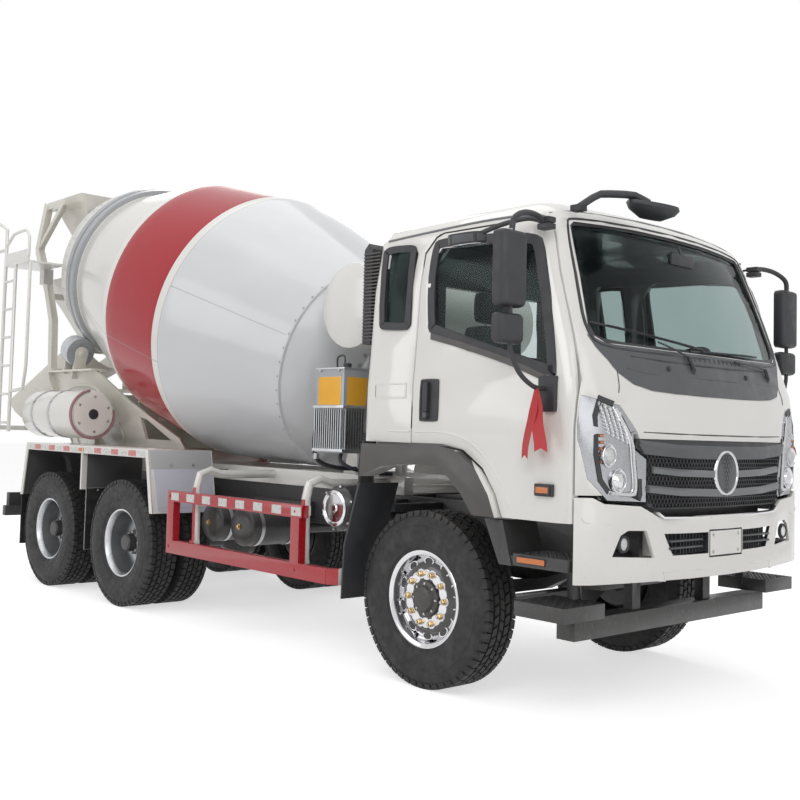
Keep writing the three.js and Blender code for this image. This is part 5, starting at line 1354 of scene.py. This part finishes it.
def mirror_set(side):
    """Rounded mirror heads on bent arms, kerb mirror, and the bracket box on the door."""
    s = SIDES[side]
    piece = Piece(f"mirror_detail_{side}", f"door_{side}", "plastic")
    low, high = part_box(f"mirrors_{side}")
    out = 1.565

    def head(x, y, z, bulge):
        outline = corners((y[0], z[0]), (y[1], z[1]), 0.030)
        place = Matrix(((0, 0, 1, 0), (s, 0, 0, 0), (0, 1, 0, 0), (0, 0, 0, 1)))
        levels = ((x[0], 0.010), (x[0] + 0.006, 0.002), (x[0] + 0.03, 0.0), (x[1] - bulge, 0.0),
                  (x[1] - bulge * 0.5, 0.004), (x[1] - bulge * 0.15, 0.013), (x[1], 0.026))
        rings = []
        for level, shrink in levels:
            rings.append([place @ Vector((*p, at(level, 0, 0).x)) for p in inset(outline, shrink)])
        count = len(outline)
        points = [p for ring in rings for p in ring]
        faces = [(r * count + i, r * count + (i + 1) % count, (r + 1) * count + (i + 1) % count,
                  (r + 1) * count + i) for r in range(len(rings) - 1) for i in range(count)]
        faces += [tuple(reversed(range(count))),
                  tuple(range((len(rings) - 1) * count, len(rings) * count))]
        piece.add(points, faces, dark_plastic)
        pane = [place @ Vector((*p, at(x[0] - 0.002, 0, 0).x)) for p in inset(outline, 0.014)]
        piece.add(pane, [tuple(range(count))], mirror_face)

    head((0.905, 0.995), (1.375, out), (2.175, 2.575), 0.04)
    head((0.905, 0.985), (1.38, out), (1.985, 2.145), 0.035)
    piece.tube([at(0.90, s * 1.13, 2.67), at(0.90, s * 1.20, 2.70), at(0.93, s * 1.34, 2.69),
                at(0.955, s * 1.45, 2.64), at(0.955, s * 1.47, 2.56)], 0.016, dark_plastic, 12)
    piece.tube([at(0.955, s * 1.47, 2.20), at(0.955, s * 1.47, 2.10)], 0.013, dark_plastic, 12)
    piece.tube([at(0.955, s * 1.47, 2.0), at(0.957, s * 1.46, 1.94), at(0.965, s * 1.40, 1.84),
                at(0.975, s * 1.30, 1.775), at(0.985, s * 1.21, 1.765)], 0.013, dark_plastic, 12)
    piece.block(at(0.945, min(s * 1.165, s * 1.225), 1.645),
                at(1.055, max(s * 1.165, s * 1.225), 1.835), dark_plastic, 0.014)
    for z in (2.655, 2.69):
        piece.block(at(0.86, min(s * 1.085, s * 1.15), z - 0.02),
                    at(0.94, max(s * 1.085, s * 1.15), z + 0.012), dark_plastic, 0.008)
    piece.bolt(at(0.955, s * 1.47, 2.575), Z, steel, 0.010, 0.012)
    if side == "right":
        kerb = rounded([(0.41, -1.41), (0.62, -1.41), (0.635, -1.30), (0.60, -1.275),
                        (0.42, -1.275)], 1)
        tilt = Matrix.Translation(at(0.53, -1.34, 2.60)) @ Matrix.Rotation(0.14, 4, "X")
        kerb = [(u - 0.53, v + 1.34) for u, v in kerb]
        piece.slab(kerb, -0.034, 0.030, grey_plastic, tilt, 0.012)
        piece.slab(inset(kerb, 0.014), -0.037, -0.034, mirror_face, tilt)
        piece.tube([at(0.60, -1.34, 2.61), at(0.70, -1.26, 2.665), at(0.80, -1.17, 2.70),
                    at(0.86, -1.12, 2.69)], 0.014, dark_plastic, 12)
    else:
        piece.tube([at(0.60, 1.20, 2.68), at(0.86, 1.12, 2.69)], 0.008, dark_plastic, 8)
    piece.done(40, [f"mirrors_{side}"])


def ribbon(side, number, top, foot, width, sway):
    """One plain red ribbon hanging from the mirror arm."""
    s = SIDES[side]
    rows, points, faces = 16, [], []
    for i in range(rows + 1):
        share = i / rows
        middle_point = at(*top).lerp(at(*foot), share)
        wave = 0.010 * math.sin(share * 6.0 + number * 1.7) * (0.3 + share)
        turn = 0.2 + sway * share
        for k in range(5):
            across_ribbon = (k / 4 - 0.5) * width * (0.35 + 0.65 * min(1, share * 3))
            notch = -0.020 * abs(k - 2) / 2 if i == rows else 0
            points.append(middle_point + Vector((across_ribbon * math.cos(turn) + wave,
                                                 s * (across_ribbon * math.sin(turn)
                                                      + wave * 0.4), notch)))
        if i:
            p, q = 5 * (i - 1), 5 * i
            faces += [(p + k, p + k + 1, q + k + 1, q + k) for k in range(4)]
    piece = Piece(f"ribbon_{side}_{number}", f"door_{side}", "seat_fabric")
    piece.add(points, faces, ribbon_cloth)
    made = piece.done(60)
    length = (at(*top) - at(*foot)).length


def ribbons(side):
    s = SIDES[side]
    for number, (foot, width, sway) in enumerate((((0.930, s * 1.300, 1.415), 0.075, 0.25),
                                                   ((1.045, s * 1.325, 1.455), 0.085, -0.2))):
        ribbon(side, number, (0.985, s * 1.285, 1.765), foot, width, sway)


def steps_detail(side):
    s, node = SIDES[side], f"steps_{side}"
    piece = Piece(f"step_treads_{side}", "chassis", "plastic")
    for x0, x1, y0, y1, z in ((0.775, 1.125, 0.905, 1.185, 0.885), (0.805, 1.125, 0.865, 1.20,
                                                                     0.640)):
        for i in range(12):
            for k in range(8):
                x = x0 + (x1 - x0) * (i + 0.5) / 12
                y = y0 + (y1 - y0) * (k + 0.5) / 8
                lean = 0.6 if (i + k) % 2 else -0.6
                place = Matrix.Translation(at(x, s * y, z)) @ Matrix.Rotation(lean, 4, "Z")
                piece.block((-0.011, -0.003, -0.002), (0.011, 0.003, 0.003), dark_plastic, 0, place)
    y = s * 1.19
    piece.block(at(0.80, min(y, y + s * 0.008), 0.838), at(0.99, max(y, y + s * 0.008), 0.872),
                amber, 0.003)
    piece.done(35)


for side in SIDES:
    cab_side(side)
    mirror_set(side)
    ribbons(side)
    steps_detail(side)
    reface("cab_shell", arch_grey, lambda c, n, s=SIDES[side]: s * c.y > 1.203 and c.z < 1.47)


# ---------------------------------------------------------------- seats and dashboard
def pillow(name, low, high, crown, body, finish, channels=0):
    """A crowned cushion with rounded sides and sewn channels along it, from a subdivided box."""
    low, high = Vector(low), Vector(high)
    half, centre = (high - low) / 2, (high + low) / 2
    thin = min(range(3), key=lambda k: half[k])
    mesh = bmesh.new()
    bmesh.ops.create_cube(mesh, size=2)
    bmesh.ops.subdivide_edges(mesh, edges=mesh.edges[:], cuts=14, use_grid_fill=True)
    wide = [k for k in range(3) if k != thin]
    for vertex in mesh.verts:
        p = vertex.co.copy()
        a, b = p[wide[0]], p[wide[1]]
        swell = (1 - abs(a) ** 2.6) * (1 - abs(b) ** 2.6)
        depth = 0.62 + 0.38 * swell ** 0.5
        round_off = 1 - 0.10 * (abs(a * b)) ** 3
        pull = 1 - 0.035 * (1 - abs(p[thin])) * 0
        if channels:
            groove = abs(math.sin((b + 1) * math.pi * channels / 2))
            depth -= 0.07 * max(0.0, 1 - groove * 4) * (1 if abs(p[thin]) > 0.9 else 0)
        q = Vector((0, 0, 0))
        q[wide[0]] = a * round_off * half[wide[0]] * (1 - 0.04 * abs(p[thin]) ** 4) * pull
        q[wide[1]] = b * round_off * half[wide[1]] * (1 - 0.04 * abs(p[thin]) ** 4) * pull
        q[thin] = p[thin] * depth * half[thin] * (1 + crown * 0)
        vertex.co = centre + q
    data = bpy.data.meshes.new(name)
    mesh.to_mesh(data)
    mesh.free()
    data.materials.append(finish)
    data.polygons.foreach_set("use_smooth", [True] * len(data.polygons))
    made = bpy.data.objects.new(name, data)
    bpy.context.scene.collection.objects.link(made)
    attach(made, body)
    return made


def seat(name):
    low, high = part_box(name)
    x0, x1, y0, y1, z0, z1 = low.x, high.x, low.y, high.y, low.z, high.z
    depth, width, tall = x1 - x0, y1 - y0, z1 - z0
    cushion = pillow(f"{name}_cushion", (x0 + 0.12, y0, z0 + 0.06), (x1, y1, z0 + 0.24), 0.2, "cab",
                     seat_cloth, 3)
    pillow(f"{name}_back", (x0 + 0.02, y0 + 0.01, z0 + 0.20), (x0 + 0.17, y1 - 0.01,
                                                               z1 - tall * 0.24), 0.2, "cab",
           seat_cloth, 3)
    pillow(f"{name}_head", (x0 + 0.02, y0 + width * 0.24, z1 - tall * 0.22),
           (x0 + 0.13, y1 - width * 0.24, z1), 0.2, "cab", seat_cloth)
    base = Piece(f"{name}_base", "cab", "plastic")
    base.block((x0 + 0.06, y0 + 0.05, z0), (x1 - 0.04, y1 - 0.05, z0 + 0.075), dark_plastic, 0.015)
    for y in (y0 + width * 0.4, y1 - width * 0.4):
        base.tube([Vector((x0 + 0.08, y, z1 - tall * 0.26)), Vector((x0 + 0.08, y,
                                                                    z1 - tall * 0.18))], 0.006,
                  steel, 8)
    base.done(35)
    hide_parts(name)


for name in ("seat_driver", "seat_passenger"):
    seat(name)


def wheel_and_dash():
    """Steering wheel, column and small things on the dashboard."""
    piece = Piece("cab_controls", "cab", "plastic")
    centre = at(0.72, 0.48, 1.98)
    aim = Vector((-0.55, 0, 0.84))
    place = facing(centre, aim)
    ring = arc(0.215, 0, 345, 24)
    piece.tube([place @ Vector((*p, 0)) for p in [*ring, ring[0]]], 0.015, dark_plastic, 10, 2)
    piece.lathe([(-0.05, 0.03), (-0.02, 0.065), (0.0, 0.06), (0.004, 0)], dark_plastic, place, 24)
    for turn in (90, 210, 330):
        end = (0.21 * math.cos(math.radians(turn)), 0.21 * math.sin(math.radians(turn)), 0)
        piece.tube([place @ Vector((0, 0, -0.02)), place @ Vector(end)], 0.010, dark_plastic, 8)
    piece.tube([centre, centre - aim * 0.22], 0.022, dark_plastic, 12)
    piece.block(at(1.00, -0.10, 2.56), at(1.03, 0.14, 2.63), dark_plastic, 0.012)
    piece.tube([at(1.02, 0.02, 2.62), at(1.00, 0.02, 2.68)], 0.007, dark_plastic, 8)
    piece.done(35)


wheel_and_dash()


# ---------------------------------------------------------------- fittings on the frame
def fender_detail(side):
    """White frame strips with reflectors, dark inner panel, flaps, and the two-tone front plate."""
    s = SIDES[side]
    low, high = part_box(f"rear_fender_{side}")
    top, out, foot = high.z, GUARD_OUT, 0.81
    front, rear = high.x, low.x + 0.0
    front_top, rear_top = front - 0.1, rear + 0.1
    mid_x = (front + rear) / 2
    piece = Piece(f"fender_trim_{side}", "chassis", "white_paint")

    def side_block(x0, x1, z0, z1, y0, y1, finish, bevel=0.0):
        piece.block((x0, min(s * y0, s * y1), z0), (x1, max(s * y0, s * y1), z1), finish, bevel)

    side_block(rear_top, front_top, top - 0.066, top + 0.002, out - 0.012, out + 0.002, white, 0.003)
    marks = 15
    for i in range(marks):
        x = rear_top + 0.10 + (front_top - rear_top - 0.2) * i / (marks - 1)
        if i == 7:
            side_block(x - 0.045, x + 0.045, top - 0.055, top - 0.012, out, out + 0.016, amber, 0.005)
            continue
        tone = red_reflector if i % 2 else white_reflector
        side_block(x - 0.062, x + 0.062, top - 0.058, top - 0.010, out, out + 0.0045, tone, 0.001)
    for x0, x1, x2, x3 in ((front_top, front - 0.0, front - 0.045, front_top - 0.045),
                           (rear_top, rear + 0.0, rear + 0.045, rear_top + 0.045)):
        outline = [(x0, top), (x1, foot), (x2, foot), (x3, top)]
        place = Matrix(((1, 0, 0, 0), (0, 0, 1, 0), (0, 1, 0, 0), (0, 0, 0, 1)))
        piece.slab(outline, min(s * (out - 0.01), s * (out + 0.003)),
                   max(s * (out - 0.01), s * (out + 0.003)), white, place, 0.002)
    side_block(mid_x - 0.012, mid_x + 0.012, 0.93, top - 0.02, out - 0.05, out, white, 0.003)
    side_block(mid_x - 0.012, mid_x + 0.012, 0.94, top - 0.02, 0.645, out - 0.05, panel_grey, 0.002)
    side_block(mid_x - 0.006, mid_x + 0.006, 0.40, 0.96, 0.665, out - 0.055, flap_rubber, 0.002)
    for y in (0.72, 0.9, 1.08):
        piece.bolt(Vector((mid_x + 0.006, s * y, 0.92)), X, steel, 0.010, 0.008)
    slope = Vector((0.1, 0, foot - top)).normalized()
    normal = Vector((-slope.z, 0, slope.x))
    origin = Vector((front_top, 0, top))
    place = Matrix((Y * s, slope, normal)).transposed().to_4x4()
    place.translation = origin + normal * 0.002
    length = (top - foot) / -slope.z
    piece.slab([(0.655, 0.0), (1.24, 0.0), (1.24, 0.155), (0.655, 0.155)], -0.001, 0.004, grey_strip,
               place, 0.001)
    piece.slab([(0.655, 0.157), (1.215, 0.157), (1.20, length - 0.02), (1.15, length + 0.0),
                (0.72, length + 0.0), (0.655, length - 0.06)], -0.001, 0.003, lavender, place, 0.001)
    piece.tube([place @ Vector((1.20, length - 0.05, 0.004)),
                place @ Vector((0.70, length - 0.05, 0.004))], 0.005, lavender, 8)
    for y in (0.84, 1.05):
        piece.bolt(place @ Vector((y, 0.125, 0.003)), normal, steel, 0.010, 0.008)
    for y in (0.70, 0.85, 1.0, 1.15):
        piece.bolt(Vector((low.x + 0.012, s * y, 0.795)), -X, steel, 0.010, 0.008)
    piece.done(35)
    node = f"rear_fender_{side}"
    reface(node, panel_grey, lambda c, n: abs(c.y) < out - 0.03 and (
        n.z < -0.3 or n.x > 0.3) and c.x < front_top - 0.03)
    reface(node, flap_rubber, lambda c, n: c.z < 0.80)


def guard_detail(side):
    """White reflectors along the upper rail, bolts, and white bent pipes behind."""
    s, node = SIDES[side], f"side_guard_{side}"
    low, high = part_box(node)
    out = GUARD_OUT
    piece = Piece(f"guard_trim_{side}", "chassis", "red_paint")
    for i in range(8):
        x = low.x + 0.06 + i * 0.215
        piece.block((x, min(s * out, s * (out + 0.004)), 0.942),
                    (x + 0.105, max(s * out, s * (out + 0.004)), 1.0), white_reflector, 0.001)
    for x in (low.x + 0.03, at(-1.05, 0, 0).x):
        for z in (0.585, 0.97):
            piece.bolt(Vector((x, s * out, z)), Y * s, red, 0.010, 0.005)
    piece.done(35)
    reface(node, white, lambda c, n: abs(c.y) < 1.185)


def oil_cooler():
    """Finned cooler with a blank label, lifting loop, filler cap and hoses."""
    low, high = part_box("oil_cooler")
    top = high.z
    x0, x1 = at(-1.26, 0, 0).x, at(-0.96, 0, 0).x
    y0, y1 = -0.93, -0.48
    piece = Piece("oil_cooler_detail", "chassis", "grey_paint")
    for i in range(13):
        x = x0 + 0.012 + (x1 - x0 - 0.024) * i / 12
        piece.block((x - 0.004, y0 - 0.016, 1.385), (x + 0.004, y0 + 0.002, 1.665), aluminium)
    for i in range(19):
        y = y0 + 0.012 + (y1 - y0 - 0.024) * i / 18
        piece.block((x1 - 0.002, y - 0.004, 1.385), (x1 + 0.016, y + 0.004, 1.665), aluminium)
    for z in (1.37, 1.668):
        piece.block((x0 - 0.004, y0 - 0.020, z), (x1 + 0.020, y1, z + 0.018), aluminium, 0.003)
    piece.block((x0 - 0.006, y0 - 0.006, top - 0.012), (x1 + 0.006, y1 + 0.006, top - 0.002),
                aluminium, 0.003)
    piece.block((x0 + 0.03, y0 - 0.003, 1.69), (x1 - 0.03, y0 + 0.001, 1.885), label_orange, 0.001)
    piece.block((x1 - 0.001, y0 + 0.03, 1.69), (x1 + 0.003, y0 + 0.30, 1.885), label_orange, 0.001)
    piece.block((x0 + 0.004, y0 - 0.0022, 1.40), (x1 - 0.004, y0 - 0.0002, 1.655), dark_plastic)
    piece.block((x1 + 0.0002, y0 + 0.004, 1.40), (x1 + 0.0022, y1 - 0.004, 1.655), dark_plastic)
    xm = (x0 + x1) / 2
    piece.tube([(xm - 0.04, y0 + 0.10, top - 0.004), (xm - 0.04, y0 + 0.10, top + 0.075),
                (xm + 0.03, y0 + 0.10, top + 0.085), (xm + 0.04, y0 + 0.10, top - 0.004)], 0.007,
               black, 8)
    piece.lathe([(0, 0.030), (0.03, 0.030), (0.034, 0.024), (0.034, 0)], dark_plastic,
                Matrix.Translation((x1 - 0.05, y0 + 0.07, top - 0.003)), 20)
    piece.tube([(x0 - 0.01, -0.86, 1.60), (x0 - 0.07, -0.86, 1.52), (x0 - 0.10, -0.85, 1.42),
                (x0 - 0.09, -0.82, 1.30), (x0 - 0.04, -0.70, 1.25), (x0 - 0.02, -0.50, 1.24)],
               0.016, hose_rubber, 10)
    piece.tube([(x0 - 0.09, -0.835, 1.35), (x0 - 0.095, -0.835, 1.31)], 0.021, steel, 12)
    piece.tube([(x1 - 0.06, -0.88, 1.375), (x1 - 0.05, -0.90, 1.31), (x1 + 0.02, -0.86, 1.26),
                (x1 + 0.05, -0.70, 1.23), (x1 + 0.04, -0.50, 1.22)], 0.014, hose_rubber, 10)
    for x in (x0 + 0.05, x1 - 0.05):
        piece.bolt(Vector((x, y0 - 0.006, 1.93)), -Y, steel, 0.007, 0.006)
    piece.done(35)


def louvres():
    """Slatted intake behind the cab, with bellows and a coiled line."""
    low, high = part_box("intake_snorkel")
    piece = Piece("intake_detail", "cab", "plastic")
    y_low = low.y
    for i in range(26):
        z = 2.10 + i * 0.0225
        piece.block((low.x + 0.006, y_low - 0.010, z), (high.x - 0.006, y_low + 0.004, z + 0.010),
                    arch_grey, 0.002)
    piece.done(35)
    line = Piece("cab_rear_lines", "chassis", "plastic")
    x = at(-0.63, 0, 0).x
    for k, z in enumerate((1.40, 1.42, 1.44, 1.46, 1.48, 1.50)):
        line.lathe([(-0.006, 0.060), (0.0, 0.070), (0.006, 0.060)], hose_rubber,
                   Matrix.Translation((x - 0.06, -0.90, z)), 20)
    points = []
    for i in range(97):
        turn = 2 * math.pi * i / 12
        points.append((x - 0.10 + 0.030 * math.cos(turn), -0.70 + 0.030 * math.sin(turn),
                       1.36 + i * 0.0022))
    line.tube(points, 0.005, hose_rubber, 6, 1)
    line.done(35)


def tank_bands():
    """Straps, caps and end fittings on the tanks, and the air cleaner's ring and clips."""
    piece = Piece("tank_fittings", "chassis", "steel")
    low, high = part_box("fuel_tank")
    for x in (low.x + 0.27, high.x - 0.27):
        piece.block((x - 0.03, low.y + 0.1, low.z - 0.004), (x + 0.03, high.y + 0.004, low.z),
                    steel, 0.001)
        piece.block((x - 0.03, high.y - 0.001, low.z), (x + 0.03, high.y + 0.004, high.z), steel,
                    0.001)
        piece.block((x - 0.03, low.y + 0.05, high.z), (x + 0.03, high.y + 0.004, high.z + 0.004),
                    steel, 0.001)
    piece.lathe([(0, 0.045), (0.03, 0.045), (0.036, 0.038), (0.036, 0)], dark_plastic,
                Matrix.Translation((high.x - 0.12, high.y - 0.15, high.z - 0.002)), 28)
    piece.done(35)

    low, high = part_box("air_tanks")
    ends = Piece("air_tank_fittings", "chassis", "black_paint")
    for x in (at(-2.38, 0, 0).x, at(-1.98, 0, 0).x):
        face = Vector((x, -1.0, 0.78))
        ends.lathe([(0, 0.145), (0.012, 0.140), (0.030, 0.118), (0.038, 0.06), (0.040, 0)], black,
                   facing(face, -Y), 40)
        ends.bolt(face - Y * 0.040, -Y, brass, 0.014, 0.018)
        for y in (-0.92, -0.62):
            ends.lathe([(-0.015, 0.146), (-0.015, 0.149), (0.015, 0.149), (0.015, 0.146)], steel,
                       facing(Vector((x, y, 0.78)), Y), 40)
    ends.done(35)
    cleaner = Piece("air_cleaner_fittings", "chassis", "black_paint")
    face = at(-0.87, -1.06, 1.0)
    cleaner.lathe([(0.002, 0.120), (-0.006, 0.118), (-0.010, 0.100), (-0.002, 0.092),
                   (-0.002, 0.03), (-0.010, 0.022), (-0.010, 0)], chrome, facing(face, Y), 40)
    for i in range(6):
        turn = math.radians(60 * i + 20)
        point = face + Vector((0.145 * math.cos(turn), 0.05, 0.145 * math.sin(turn)))
        cleaner.block(point - Vector((0.012, 0.03, 0.006)), point + Vector((0.012, 0.03, 0.008)),
                      steel, 0.003)
    cleaner.done(35)


def rear_end():
    """Pedestal stiffeners, holes, labels and bolts, tail lamps, tank straps and end cap, and roller caps."""
    piece = Piece("pedestal_trim", "chassis", "white_paint")
    for s in (-1, 1):
        look = "right" if s < 0 else "left"
        node = ["rear_pedestal"]
        route = [(-5.70, 1.30), (-5.74, 1.66), (-5.66, 1.84), (-5.35, 1.90), (-5.02, 1.86),
                 (-4.86, 1.66), (-4.72, 1.42), (-4.80, 1.30)]
        line_on(piece, node, curve(route, 5), look, 0.016, cream, 0.0, 8, 1)
        point, away = onto(node, -5.33, 1.60, look)
        place = facing(point + away * 0.002, away) @ Matrix.Diagonal((1.6, 1, 1, 1))
        piece.lathe([(-0.004, 0.085), (0.006, 0.082), (0.004, 0.070), (-0.003, 0.068)], cream,
                    place, 32)
        piece.lathe([(-0.0015, 0.070), (-0.001, 0)], dark_plastic, place, 32)
        point, away = onto(node, -4.98, 1.62, look)
        piece.block(Vector((point.x - 0.05, min(point.y, point.y + s * 0.006), 1.58)),
                    Vector((point.x + 0.05, max(point.y, point.y + s * 0.006), 1.64)), label_orange,
                    0.001)
        for x, z in ((-5.80, 1.25), (-5.80, 1.50), (-5.80, 1.75), (-5.80, 1.95), (-5.5, 1.25),
                     (-5.2, 1.25), (-4.5, 1.25), (-4.2, 1.25), (-3.8, 1.22)):
            point, away = onto(node, x, z, look)
            piece.bolt(point, away, cream, 0.012, 0.009)
    piece.done(35)

    lamps = Piece("tail_lamps", "chassis", "lamp")
    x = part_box("rear_bumper")[0].x
    for s in (-1, 1):
        for y, finish in ((0.80, clear_lens), (0.93, amber), (1.06, red_lens)):
            low_y, high_y = sorted((s * (y - 0.058), s * (y + 0.058)))
            lamps.block((x - 0.012, low_y, 0.668), (x + 0.004, high_y, 0.772), finish, 0.008)
        low_y, high_y = sorted((s * 0.725, s * 1.135))
        lamps.block((x - 0.004, low_y, 0.655), (x + 0.006, high_y, 0.785), dark_plastic, 0.004)
        for i in range(4):
            y = s * (0.16 + i * 0.28)
            low_y, high_y = sorted((y - 0.07, y + 0.07))
            tone = red_reflector if i % 2 else white_reflector
            lamps.block((x + 0.006, low_y, 0.585), (x + 0.012, high_y, 0.635), tone, 0.001)
    lamps.done(35)

    tank = Piece("additive_tank_trim", "chassis", "white_paint")
    low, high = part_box("additive_tank")
    radius = (high.z - low.z) / 2
    heart = Vector((0, low.y + radius, low.z + radius))
    for share in (0.22, 0.56):
        x = low.x + (high.x - low.x) * share
        tank.lathe([(-0.022, radius - 0.004), (-0.022, radius + 0.003), (0.022, radius + 0.003),
                    (0.022, radius - 0.004)], steel, facing(heart + X * x, X), 64)
        for turn in (0.5, 2.2):
            away = -Y * math.cos(turn) + Z * math.sin(turn)
            tank.bolt(heart + X * x + away * radius, away, steel, 0.010, 0.010)
    # Two pink rings round the tank end's rim: painted shade with painted red reflection from the drum band.
    for level, thick in ((-0.010, 0.011), (0.004, 0.008)):
        loop = [heart + X * (high.x + level) + (Y * math.cos(turn) + Z * math.sin(turn)) * radius
                * 0.985 for turn in [math.radians(100 + 17 * i) for i in range(17)]]
        tank.tube(loop, thick, painted_pink_shade, 10, 4)
    end = facing(heart + X * high.x, X)
    tank.lathe([(-0.010, radius * 0.90), (0.006, radius * 0.88), (0.010, radius * 0.80),
                (0.012, radius * 0.4), (0.012, 0)], white, end, 64)
    tank.lathe([(0.008, 0.050), (0.022, 0.046), (0.024, 0.036), (0.024, 0)], dark_plastic, end, 24)
    for turn in (0.4, 1.5, 2.6, 3.7, 4.8, 5.9):
        around = Y * math.cos(turn) + Z * math.sin(turn)
        tank.bolt(heart + X * (high.x + 0.010) + around * radius * 0.72, X, steel, 0.009, 0.008)
    tank.done(35)

    for side in SIDES:
        node = f"drum_roller_{side}"
        joint = JOINTS[f"roller_{side}_spin"]
        axis, point = Vector(joint["axis"]).normalized(), Vector(joint["pos_m"])
        cap = Piece(f"roller_trim_{side}", node, "grey_paint")
        for way in (-1, 1):
            cap.lathe([(0.073, 0.060), (0.078, 0.075), (0.078, 0.130), (0.076, 0.148)], grey,
                      facing(point, axis * way), 48)
            for spot, _ in ring_turn(8, 0.10, point + axis * way * 0.076, axis):
                cap.bolt(spot, axis * way, steel, 0.008, 0.006)
        cap.done(35)


def ring_turn(count, radius, centre, axis):
    side = axis.orthogonal().normalized()
    other = axis.cross(side)
    for i in range(count):
        turn = 2 * math.pi * i / count
        spoke = side * math.cos(turn) + other * math.sin(turn)
        yield centre + spoke * radius, spoke


GUARD_OUT = 1.25
for side in SIDES:
    fender_detail(side)
    guard_detail(side)
oil_cooler()
louvres()
tank_bands()
rear_end()


# ---------------------------------------------------------------- stage
def seen(tree):
    """1 for rays that show the surroundings: straight from the camera, mirrored, or through glass."""
    rays = tree.nodes.new("ShaderNodeLightPath")
    share = rays.outputs["Is Camera Ray"]
    for name in ("Is Glossy Ray", "Is Transmission Ray"):
        either = tree.nodes.new("ShaderNodeMath")
        either.operation = "MAXIMUM"
        tree.links.new(share, either.inputs[0])
        tree.links.new(rays.outputs[name], either.inputs[1])
        share = either.outputs[0]
    return share


def stage():
    """Pale floor, white surroundings and soft studio lamps."""
    scene = bpy.context.scene
    scene.view_settings.view_transform = "Standard"
    data = bpy.data.meshes.new("floor")
    edge = 60
    data.from_pydata([(-edge, -edge, 0), (edge, -edge, 0), (edge, edge, 0), (-edge, edge, 0)], [],
                     [(0, 1, 2, 3)])
    floor = bpy.data.objects.new("floor", data)
    scene.collection.objects.link(floor)
    finish = Finish("floor_finish", Base_Color=(0.80, 0.80, 0.80, 1), Roughness=0.9,
                    Emission_Color=(1, 1, 1, 1))
    finish.feed(finish.maths("MULTIPLY", seen(finish.tree), 0.60), "Emission Strength")
    data.materials.append(finish.material)
    world = bpy.data.worlds.new("surroundings")
    scene.world = world
    world.use_nodes = True
    tree = world.node_tree
    back = tree.nodes["Background"]
    strength = tree.nodes.new("ShaderNodeMix")
    strength.inputs["A"].default_value = 0.36
    strength.inputs["B"].default_value = 1.0
    tree.links.new(seen(tree), strength.inputs["Factor"])
    tree.links.new(strength.outputs["Result"], back.inputs["Strength"])
    back.inputs["Color"].default_value = (1, 1, 1, 1)
    lamp("key", (9, -9, 8), 7, 470)
    lamp("side", (-3, -11, 5), 6, 220)
    lamp("top", (0, 0, 10), 8, 260)
    lamp("back", (-9, 6, 7), 6, 220)
    lamp("front", (12, -1, 4), 6, 140)


def lamp(name, place, size, power):
    data = bpy.data.lights.new(name, "AREA")
    data.size, data.energy = size, power
    made = bpy.data.objects.new(name, data)
    made.location = place
    made.rotation_mode = "QUATERNION"
    made.rotation_quaternion = (Vector((0, 0, 1.6)) - Vector(place)).to_track_quat("-Z", "Y")
    bpy.context.scene.collection.objects.link(made)


stage()
